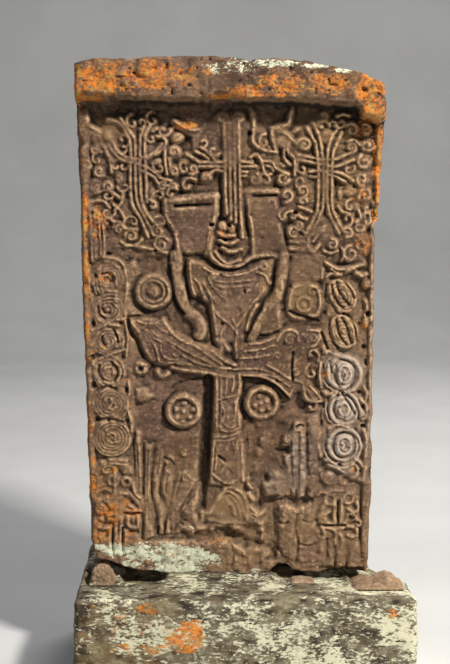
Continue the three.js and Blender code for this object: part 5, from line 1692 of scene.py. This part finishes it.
@dataclass
class CarvedSlab:
    """The upright slab: the carved face, its cornice, and its rough sides and back."""

    low: Vector
    high: Vector
    lip_left: float = 484.0
    cornice_reach: float = 70.0
    step: float = 2.6
    deep_step: float = 6.0
    coarse: int = 8
    triangles: int = 198000
    tall: float = 1662.0
    straight_top: float = 1480.0
    bare_top: tuple[float, float] = (1470.0, 1440.0)
    knot_columns: tuple[float, float] = (285.0, 305.0)
    chip_reach: float = 95.0
    left_edge: Line = (
        0, -440, 24, -454, 140, -458, 560, -466, 1000, -474, 1300, -477, 1420, -480, 1560, -482, 1642, -479,
    )
    right_edge: Line = (0, 452, 300, 459, 1146, 456, 1158, 468, 1310, 474, 1420, 479, 1560, 479, 1590, 474)
    crown: Line = (
        -482, 1640, -422, 1654, -284, 1654, -257, 1660, -151, 1662, -58, 1661, 41, 1654, 54, 1645, 74, 1654,
        141, 1654, 226, 1648, 272, 1638, 332, 1626, 405, 1611, 432, 1596, 465, 1585, 479, 1566,
    )
    foot: Line = (
        -455, 56, -428, 46, -404, 44, -380, 34, -352, 22, -300, 9, -250, 6, -222, 0, 122, 0, 138, 18,
        160, 32, 190, 26, 204, 10, 240, 5, 296, 0, 304, 5, 352, 8, 384, 5, 432, 3, 452, 0,
    )

    def origin(self) -> np.ndarray:
        """The middle of the foot of the slab's face, in millimetres."""
        x, y, z = (value / MM for value in self.low)
        return np.array([x + self.lip_left, y + self.cornice_reach, z])

    def carve(self) -> Face:
        """Carves the whole face, lays its tints and paints its highlights and shade."""
        face = Face()
        for part in (Blank(), SteppedFrames(), LEFT_CROSS, MIDDLE_CROSS, RIGHT_CROSS, LEFT_BORDER,
                     RIGHT_BORDER, GreatCross(), Shaft(), *ROUNDELS, BrokenRoundel(), Mound(),
                     Palmettes(), CornerCrosses(), Infill(), Damage(), Cornice()):
            part.cut(face)
        below = ease(*self.bare_top, face.z)
        face.height += below * (1.7 * face.wriggle(27, 35) - 2.8 * face.wriggle(21, 36))
        knots = ease(*self.knot_columns, np.abs(face.x)) * ease(330, 350, face.z) * ease(1030, 1005, face.z)
        right_arm = 1 - ease(0.8, 1.2, np.hypot((face.x - 170) / 130, (face.z - 730) / 80))
        firm = np.maximum(knots, right_arm)
        rubbed = 0.75 * ease(0.0, 0.7, face.noise(75, 34, 2)) * (1 - 0.85 * firm)
        face.height += (soften(face.height, 2.2) - face.height) * rubbed
        face.height = soften(face.height, 0.6) + 1.6 * face.noise(34, 32, 2)
        Growth().lay(face)
        self.shade(face, knots)
        return face

    @staticmethod
    def shade(face: Face, knots: np.ndarray) -> None:
        """Paints highlights on the raised ridges, partly as pale wear, and shade in the recesses; the
        border's knots are the palest.
        """
        near, wide = soften(face.height, 3.0), soften(face.height, 11.0)
        # Painted highlight where the face stands above its softened surroundings.
        face.tints[Tint.RIDGE] = ease(0.6, 4.5, face.height - near) * ease(-21, -9, face.height)
        face.tints[Tint.RIDGE] += 0.2 * ease(420, 250, face.z) + 0.16 * knots
        # Less painted highlight along the cornice's lower edge, where its shadow falls.
        face.tints[Tint.RIDGE] *= 1 - 0.75 * ease(1495, 1510, face.z) * ease(1568, 1550, face.z)
        # Painted shade wherever the face lies below its softened surroundings.
        face.tints[Tint.RECESS] = np.clip(ease(0.8, 5.0, near - face.height) * 0.75 +
                                          ease(2.0, 13, wide - face.height) * 0.5, 0, 1)

    def edges(self, z: np.ndarray, which: Line) -> np.ndarray:
        """Where an upright edge of the slab stands at each height."""
        points = pairs(which)
        return np.interp(z, points[:, 0], points[:, 1])

    def front(self, face: Face) -> np.ndarray:
        """The places of the face's mesh, rows upwards."""
        rows = int(face.top / self.step)
        cols = int(2 * self.lip_left / self.step)
        cols += -cols % self.coarse
        rows += -rows % self.coarse
        share, climb = np.meshgrid(np.linspace(0, 1, cols + 1), np.linspace(0, 1, rows + 1))
        level = climb * self.tall
        jag = np.stack([np.zeros(rows + 1), np.zeros(rows + 1), level[:, 0]], 1)
        left = self.edges(level[:, 0], self.left_edge) + 2.0 * layered(jag, 34, 41)
        right = self.edges(level[:, 0], self.right_edge) + 2.4 * layered(jag, 38, 42)
        x = left[:, None] + share * (right - left)[:, None]
        crown, foot = (pairs(line) for line in (self.crown, self.foot))
        top = np.interp(x, crown[:, 0], crown[:, 1])
        across = np.stack([x.ravel(), np.zeros(x.size), np.zeros(x.size)], 1)
        top = top + 1.6 * layered(across, 26, 43).reshape(x.shape)
        bottom = np.interp(x, foot[:, 0], foot[:, 1])
        high = ease(self.straight_top, self.tall, level)
        z = level + (top - self.tall) * high + bottom * (1 - ease(0, 140, level))
        height = face.sample(face.height, x, z)
        rim = np.minimum((x - left[:, None]), (right[:, None] - x))
        height = height - 9 * (1 - ease(0, 9, rim)) - 7 * (1 - ease(0, 9, top - z))
        return np.stack([x, -height, z], -1)

    def build(self) -> bpy.types.Object:
        """Builds the slab's mesh round its carved face."""
        face = self.carve()
        front = self.front(face)
        rows, cols = front.shape[0] - 1, front.shape[1] - 1
        thick = (self.high.y / MM) - self.origin()[1]
        depth = max(4, int(thick / self.deep_step))
        depth += -depth % self.coarse
        points: list[np.ndarray] = [front.reshape(-1, 3)]
        count = front.shape[0] * front.shape[1]
        index = np.full((depth + 1, rows + 1, cols + 1), -1)
        index[0] = np.arange(count).reshape(rows + 1, cols + 1)
        ring = [(0, i) for i in range(cols + 1)] + [(j, cols) for j in range(1, rows + 1)]
        ring += [(rows, i) for i in range(cols - 1, -1, -1)] + [(j, 0) for j in range(rows - 1, 0, -1)]
        edge = np.array([front[j, i] for j, i in ring])
        for k in range(1, depth + 1):
            share = k / depth
            layer = edge.copy()
            layer[:, 1] = edge[:, 1] * (1 - share) + thick * share
            ends = ease(0, self.chip_reach / thick, np.array([share]))[0]
            low = np.array([j == 0 for j, _ in ring])
            layer[:, 2] = np.where(low, edge[:, 2] * (1 - ends), edge[:, 2])
            points.append(layer)
            for n, (j, i) in enumerate(ring):
                index[k, j, i] = count + n
            count += len(ring)
        back_rows, back_cols = range(self.coarse, rows, self.coarse), range(self.coarse, cols, self.coarse)
        back = []
        for j in back_rows:
            for i in back_cols:
                place = front[j, i].copy()
                place[1] = thick
                back.append(place)
                index[depth, j, i] = count
                count += 1
        points.append(np.array(back))
        faces = self.front_faces(index[0]) + self.wall_faces(index, ring, depth)
        faces += self.back_faces(index[depth], rows, cols)
        all_points = np.vstack(points)
        piece = smooth_mesh("carved_slab", all_points + self.origin(), faces)
        self.roughen(piece, front.shape[0] * front.shape[1])
        thinned(piece, self.triangles)
        self.dress(piece, face)
        return piece

    @staticmethod
    def front_faces(index: np.ndarray) -> list[tuple[int, ...]]:
        """The faces of a grid that looks forward."""
        quads = np.stack([index[:-1, :-1], index[:-1, 1:], index[1:, 1:], index[1:, :-1]], -1)
        return [tuple(q) for q in quads.reshape(-1, 4).tolist()]

    @staticmethod
    def wall_faces(index: np.ndarray, ring: list[tuple[int, int]], depth: int) -> list[tuple[int, ...]]:
        """The faces of the sides, the top and the foot."""
        made = []
        for k in range(depth):
            here = [int(index[k, j, i]) for j, i in ring]
            then = [int(index[k + 1, j, i]) for j, i in ring]
            for n in range(len(ring)):
                m = (n + 1) % len(ring)
                made.append((here[m], here[n], then[n], then[m]))
        return made

    def back_faces(self, index: np.ndarray, rows: int, cols: int) -> list[tuple[int, ...]]:
        """The coarser faces of the back, whose outer ones meet every point of the sides."""
        made = []
        n = self.coarse
        for j in range(0, rows, n):
            for i in range(0, cols, n):
                loop = [(j, i + s) for s in range(n)] + [(j + s, i + n) for s in range(n)]
                loop += [(j + n, i + n - s) for s in range(n)] + [(j + n - s, i) for s in range(n)]
                made.append(tuple(int(index[at]) for at in reversed(loop) if index[at] >= 0))
        return made

    def roughen(self, piece: bpy.types.Object, face_count: int) -> None:
        """Hews the sides, top and back unevenly, leaving the face as carved."""
        spots, foot = places(piece), self.low.z / MM
        hewn = 3.6 * layered(spots, 90, 51, 2) + 2.4 * np.abs(layered(spots, 40, 52, 1)) - 2.5
        behind = spots[:, 1] - (self.low.y / MM + self.cornice_reach)
        share = ease(4, 40, behind)
        share[:face_count] = 0.0
        roughened(piece, hewn * np.where(spots[:, 2] < foot + 2.0, 0, share), foot)

    def dress(self, piece: bpy.types.Object, face: Face) -> None:
        """Keeps the masks on the mesh: the face's own in front, and plainer ones round it."""
        spots = places(piece) - self.origin()
        x, z = spots[:, 0], spots[:, 2]
        behind = spots[:, 1] + face.sample(face.height, x, z)
        front = 1 - ease(6, 26, behind)
        rough = layered(spots, 60, 61)
        fine = layered(spots, 22, 62)
        round_it = {
            Tint.ORANGE: 0.34 * ease(0.1, 0.9, rough) + 0.5 * ease(1380, 1640, z) * ease(-0.5, 0.8, rough),
            Tint.OCHRE: 0.4 * ease(0.0, 0.9, -rough),
            Tint.PALE: 0.7 * ease(1640, 1655, z) * ease(-0.7, 0.3, fine) + 0.5 * ease(0.4, 1.0, fine),
            Tint.GREY: 0.1 * ease(0, 1, fine),
            # On the sides and back the highlight and shade masks carry only random light and dark specks.
            Tint.RIDGE: 0.35 * ease(0.3, 1.1, fine),
            Tint.RECESS: 0.4 * ease(0.2, 1.2, -fine),
        }
        for tint, other in round_it.items():
            keep_tint(piece, tint, face.sample(face.tints[tint], x, z) * front + other * (1 - front))


@dataclass
class RoughBlock:
    """A rough stone made from a box: rounded, uneven and pitted, with a flat underside."""

    name: str
    low: Vector
    high: Vector
    step: float = 6.5
    rounding: float = 30.0
    unevenness: float = 6.0
    seed: int = 71
    tints: dict[Tint, float] = field(default_factory=dict)
    profile: Line = (0, 1, 1, 1)
    taper: float = 0.0
    triangles: int = 24000

    def grid(self) -> tuple[np.ndarray, list[tuple[int, ...]]]:
        """The places and faces of a box's skin, in cells of about one step."""
        low, high = np.array(self.low) / MM, np.array(self.high) / MM
        cells = np.maximum(2, ((high - low) / self.step).astype(int))
        numbers: dict[tuple[int, int, int], int] = {}
        points, faces = [], []

        def number(at: tuple[int, int, int]) -> int:
            """The number of the point at a place in the grid."""
            if at not in numbers:
                numbers[at] = len(points)
                points.append(low + (high - low) * np.array(at) / cells)
            return numbers[at]

        for axis in range(3):
            u, v = (axis + 1) % 3, (axis + 2) % 3
            for end in (0, int(cells[axis])):
                for a in range(int(cells[u])):
                    for b in range(int(cells[v])):
                        loop = []
                        for s, t in ((0, 0), (1, 0), (1, 1), (0, 1)):
                            at = [0, 0, 0]
                            at[axis], at[u], at[v] = end, a + s, b + t
                            loop.append(number(tuple(at)))
                        faces.append(tuple(loop if end else reversed(loop)))
        return np.array(points), faces

    def rounded(self, points: np.ndarray) -> np.ndarray:
        """The box's places with its upper and upright edges rounded."""
        low, high = np.array(self.low) / MM, np.array(self.high) / MM
        r = self.rounding
        core = np.clip(points, low + [r, r, 0], high - r)
        out = points - core
        length = np.linalg.norm(out, axis=1)
        return core + out * (r / np.maximum(length, 1e-9))[:, None] * (length > 1e-9)[:, None]

    def shape(self, points: np.ndarray) -> np.ndarray:
        """Lowers the top along its profile from left to right, and narrows it upwards."""
        low, high = np.array(self.low) / MM, np.array(self.high) / MM
        share = (points - low) / (high - low)
        profile = pairs(self.profile)
        rise = np.interp(share[:, 0], profile[:, 0], profile[:, 1]) * share[:, 2]
        middle = 0.5 * (low + high)
        made = middle + (points - middle) * (1 - self.taper * share[:, 2:3])
        made[:, 2] = low[2] + (high[2] - low[2]) * rise
        return made

    def build(self) -> bpy.types.Object:
        """Builds the block."""
        points, faces = self.grid()
        piece = smooth_mesh(self.name, self.shape(self.rounded(points)), faces)
        spots, foot = places(piece), self.low.z / MM
        size = max(30.0, 0.28 * float(self.high.x - self.low.x) / MM)
        lumps = layered(spots, size, self.seed)
        pocks = np.abs(layered(spots, size * 0.1, self.seed + 2))
        grit = layered(spots, size * 0.22, self.seed + 1) - 0.5 * pocks
        moved = self.unevenness * (lumps + 0.45 * grit) - 0.6 * self.unevenness
        roughened(piece, moved * ease(foot, foot + 12, spots[:, 2]), foot)
        thinned(piece, self.triangles)
        self.dress(piece)
        return piece

    def dress(self, piece: bpy.types.Object) -> None:
        """Keeps the masks on the mesh."""
        spots = places(piece)
        fine = layered(spots, 24, self.seed + 4)
        for tint in Tint:
            level = self.tints.get(tint, 0.0)
            keep_tint(piece, tint, level * (0.75 + 0.5 * fine))


@dataclass
class BaseStone(RoughBlock):
    """The base stone, hollowed where the packing stones lie, with its back right corner lost."""

    triangles: int = 120000
    middle: float = 0.0
    face: float = 0.0
    hollows: tuple[Line, ...] = (
        (-418, 0, 58, 92, 22), (-292, 16, 82, 82, 44), (500, 90, 124, 270, 30), (264, 0, 134, 80, 27),
    )
    worn_from: float = 300.0
    right_side: Line = (20, 590, 86, 527, 159, 481, 350, 475)
    orange: tuple[Line, ...] = (
        (-138, -128, 84, 74, 1.15), (-261, -36, 52, 24, 0.85), (-239, -172, 52, 30, 0.85),
        (502, -51, 30, 24, 0.9), (-400, -60, 90, 60, 0.55), (-440, -160, 70, 60, 0.45),
        (60, -30, 60, 20, 0.4), (560, -120, 20, 40, 0.5), (250, -200, 60, 30, 0.4),
    )

    def shape(self, points: np.ndarray) -> np.ndarray:
        """Draws the back right corner in and sinks the hollows into the top."""
        made = points.copy()
        top = self.high.z / MM
        x, y = made[:, 0] - self.middle, made[:, 1] - self.face
        side = pairs(self.right_side)
        share = (np.interp(y, side[:, 0], side[:, 1]) - self.worn_from) / (side[0, 1] - self.worn_from)
        x = np.where(x > self.worn_from, self.worn_from + (x - self.worn_from) * share, x)
        drop = np.zeros(len(made))
        for hx, hy, rx, ry, deep in self.hollows:
            reach = (np.abs((x - hx) / rx) ** 4 + np.abs((y - hy) / ry) ** 4) ** 0.25
            drop = np.maximum(drop, deep * (1 - ease(0.75, 1.1, reach)))
        made[:, 0] = x + self.middle
        made[:, 2] -= drop * ease(top - 90, top - 5, points[:, 2])
        return made

    def dress(self, piece: bpy.types.Object) -> None:
        """Keeps lichen islands, light and dark specks, and orange patches on the mesh."""
        spots = places(piece)
        x, y, z = spots[:, 0] - self.middle, spots[:, 1] - self.face, spots[:, 2] - self.high.z / MM
        broad, fine = layered(spots, 90, self.seed + 4), layered(spots * [0.5, 1, 1], 18, self.seed + 5)
        upper = ease(-30, -8, z)
        left = ease(-60, -330, x) * (1 - upper)
        keep_tint(piece, Tint.PALE, 0.79 + 0.34 * broad - 0.14 * upper - 0.2 * left)
        orange = np.zeros(len(spots))
        for ox, oz, across, up, amount in self.orange:
            reach = np.hypot((x - ox) / across, (z - oz) / up) + 0.25 * fine
            orange = np.maximum(orange, amount * (1 - ease(0.4, 1.2, reach)) * (y < 0))
        keep_tint(piece, Tint.ORANGE, np.maximum(orange, 0.24 + 0.26 * left + 0.12 * broad))
        keep_tint(piece, Tint.OCHRE, 0.2 + 0.5 * left + 0.3 * ease(0.1, 1.0, -broad))
        # Light and dark specks through the highlight and shade masks, the dark ones a little more on the
        # top.
        keep_tint(piece, Tint.RIDGE, 0.3 * ease(0.2, 1.0, fine))
        keep_tint(piece, Tint.RECESS, 0.9 * ease(0.1, 0.6, -fine) + 0.1 * upper)
        keep_tint(piece, Tint.GREY, np.zeros(len(spots)))


# The studio


@dataclass(frozen=True)
class Lamp:
    """A square soft light.

    Its azimuth counts in degrees to the right of the camera's side, its elevation in degrees above
    the horizon, its size and its distance in metres, and its power in watts.
    """

    name: str
    azimuth: float
    elevation: float
    size: float
    power: float
    tone: tuple[float, float, float]
    away: float = 6.0

    def hang(self, aim: Vector) -> None:
        """Hangs the lamp so that it shines on a place."""
        data = bpy.data.lights.new(self.name, "AREA")
        data.size, data.energy, data.color = self.size, self.power, self.tone
        made = linked(self.name, data)
        a, e = math.radians(self.azimuth), math.radians(self.elevation)
        back = Vector((math.sin(a) * math.cos(e), -math.cos(a) * math.cos(e), math.sin(e)))
        made.location = aim + back * self.away
        made.rotation_mode = "QUATERNION"
        made.rotation_quaternion = back.to_track_quat("Z", "Y")


@dataclass(frozen=True)
class Studio:
    """A pale floor and backdrop, soft lights, and the camera at the photograph's angle."""

    distance: float = 4.0
    eye: float = 1.3626
    aside: float = -0.018
    pitch: float = 8.0
    focal_pixels: float = 1262.0
    long_side_pixels: float = 664.0
    sensor: float = 36.0
    floor_tones: tuple[Colour, Colour] = (colour(196, 196, 194), colour(204, 204, 202))
    floor_reach: float = 14.0
    bend_from: float = 6.0
    bend: float = 2.5
    bend_steps: int = 16
    backdrop: float = 7.0
    lamps: tuple[Lamp, ...] = (
        Lamp("key", 45, 41, 0.7, 620, (1.0, 0.96, 0.9)), Lamp("fill", -50, 20, 3.0, 40, (0.9, 0.95, 1.0)),
        Lamp("back", 160, 40, 2.5, 160, (1.0, 0.98, 0.95)),
    )
    sky: Colour = (0.82, 0.88, 1.0, 1.0)
    sky_strength: float = 0.19

    def camera(self, origin: Vector) -> None:
        """Places the camera before the slab's face."""
        data = bpy.data.cameras.new("view")
        data.sensor_width = self.sensor
        data.lens = self.focal_pixels / self.long_side_pixels * self.sensor
        data.clip_end = 60
        made = linked("view", data)
        made.location = origin + Vector((self.aside, -self.distance, self.eye))
        made.rotation_euler = (math.radians(90 - self.pitch), 0, 0)
        bpy.context.scene.camera = made

    def floor(self) -> bpy.types.Object:
        """A floor that curves up into a backdrop far behind."""
        profile = [(-self.floor_reach, 0.0), (self.bend_from, 0.0)]
        for k in range(1, self.bend_steps + 1):
            turn = 0.5 * math.pi * k / self.bend_steps
            profile.append((self.bend_from + self.bend * math.sin(turn), self.bend * (1 - math.cos(turn))))
        profile.append((self.bend_from + self.bend, self.backdrop))
        points = [(side, y, z) for y, z in profile for side in (-self.floor_reach, self.floor_reach)]
        faces = [(2 * k, 2 * k + 1, 2 * k + 3, 2 * k + 2) for k in range(len(profile) - 1)]
        mesh = bpy.data.meshes.new("floor")
        mesh.from_pydata(points, [], faces)
        mesh.polygons.foreach_set("use_smooth", [True] * len(faces))
        made = linked("floor", mesh)
        finish = bpy.data.materials.new("pale_floor")
        finish.use_nodes = True
        graph = Graph(finish.node_tree)
        tone = graph.blend(graph.rise(graph.speckle(graph.places(), 1.5), 0.3, 0.7), *self.floor_tones)
        shader = graph.node("BsdfPrincipled", {"Base Color": tone, "Roughness": 0.9})
        graph.close(shader)
        mesh.materials.append(finish)
        return made

    def light(self, aim: Vector) -> None:
        """A key light high at the right, weak lights round it, and a pale sky."""
        for lamp in self.lamps:
            lamp.hang(aim)
        world = bpy.data.worlds.new("pale_sky")
        world.use_nodes = True
        graph = Graph(world.node_tree)
        shade = graph.node("Background", {"Color": self.sky, "Strength": self.sky_strength})
        graph.close(shade, "OutputWorld")
        bpy.context.scene.world = world
        bpy.context.scene.view_settings.view_transform = "Standard"


def settle(piece: bpy.types.Object, node: str, finish: bpy.types.Material) -> None:
    """Gives a piece its finish and says which CAD node it stands for."""
    piece.data.materials.clear()
    piece.data.materials.append(finish)
    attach(piece, "root")
    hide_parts(node)
    LOG.info("%s: %d triangles, for %s", piece.name,
             sum(len(p.vertices) - 2 for p in piece.data.polygons), node)


PACKING_STONES = (
    ("left_packing_stone", 2.2, 10, 5.0, 81, {Tint.PALE: 0.55, Tint.OCHRE: 0.4, Tint.RECESS: 0.3},
     (0, 0.8, 0.3, 1.0, 0.75, 0.9, 1, 0.7), 0.22),
    ("right_wedge_stone", 3.0, 8, 3.4, 91, {Tint.PALE: 0.2, Tint.ORANGE: 0.36, Tint.OCHRE: 0.3},
     (0, 0.34, 0.36, 0.42, 0.5, 0.66, 0.7, 1.0, 0.9, 0.74, 1, 0.3), 0.16),
    ("thin_packing_stone", 1.8, 3, 1.6, 101, {Tint.PALE: 0.5}, (0, 0.6, 0.4, 1, 1, 0.5), 0.2),
)


def main() -> None:
    """Builds and dresses every piece, then the studio round them."""
    logging.basicConfig(level=logging.INFO, format="%(name)s: %(message)s")
    effects = Effects()
    tuff, basalt, spall = (stone.material(effects) for stone in (TUFF, BASALT, SPALL))
    slab = CarvedSlab(*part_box("slab"))
    middle, face, _ = slab.origin()
    settle(slab.build(), "slab", tuff)
    base = BaseStone("base_stone", *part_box("pedestal"), middle=middle, face=face)
    settle(base.build(), "pedestal", basalt)
    for node, *sizes in PACKING_STONES:
        block = RoughBlock(node + "_hewn", *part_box(node), *sizes)
        settle(block.build(), node, spall)
    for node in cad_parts.values():
        node.data.materials.clear()
        node.data.materials.append(spall)
    studio = Studio()
    studio.floor()
    centre = Vector((middle * MM, face * MM, slab.low.z))
    studio.camera(centre)
    studio.light(Vector((0, 0, 1.0)))


if __name__ == "__main__":
    main()
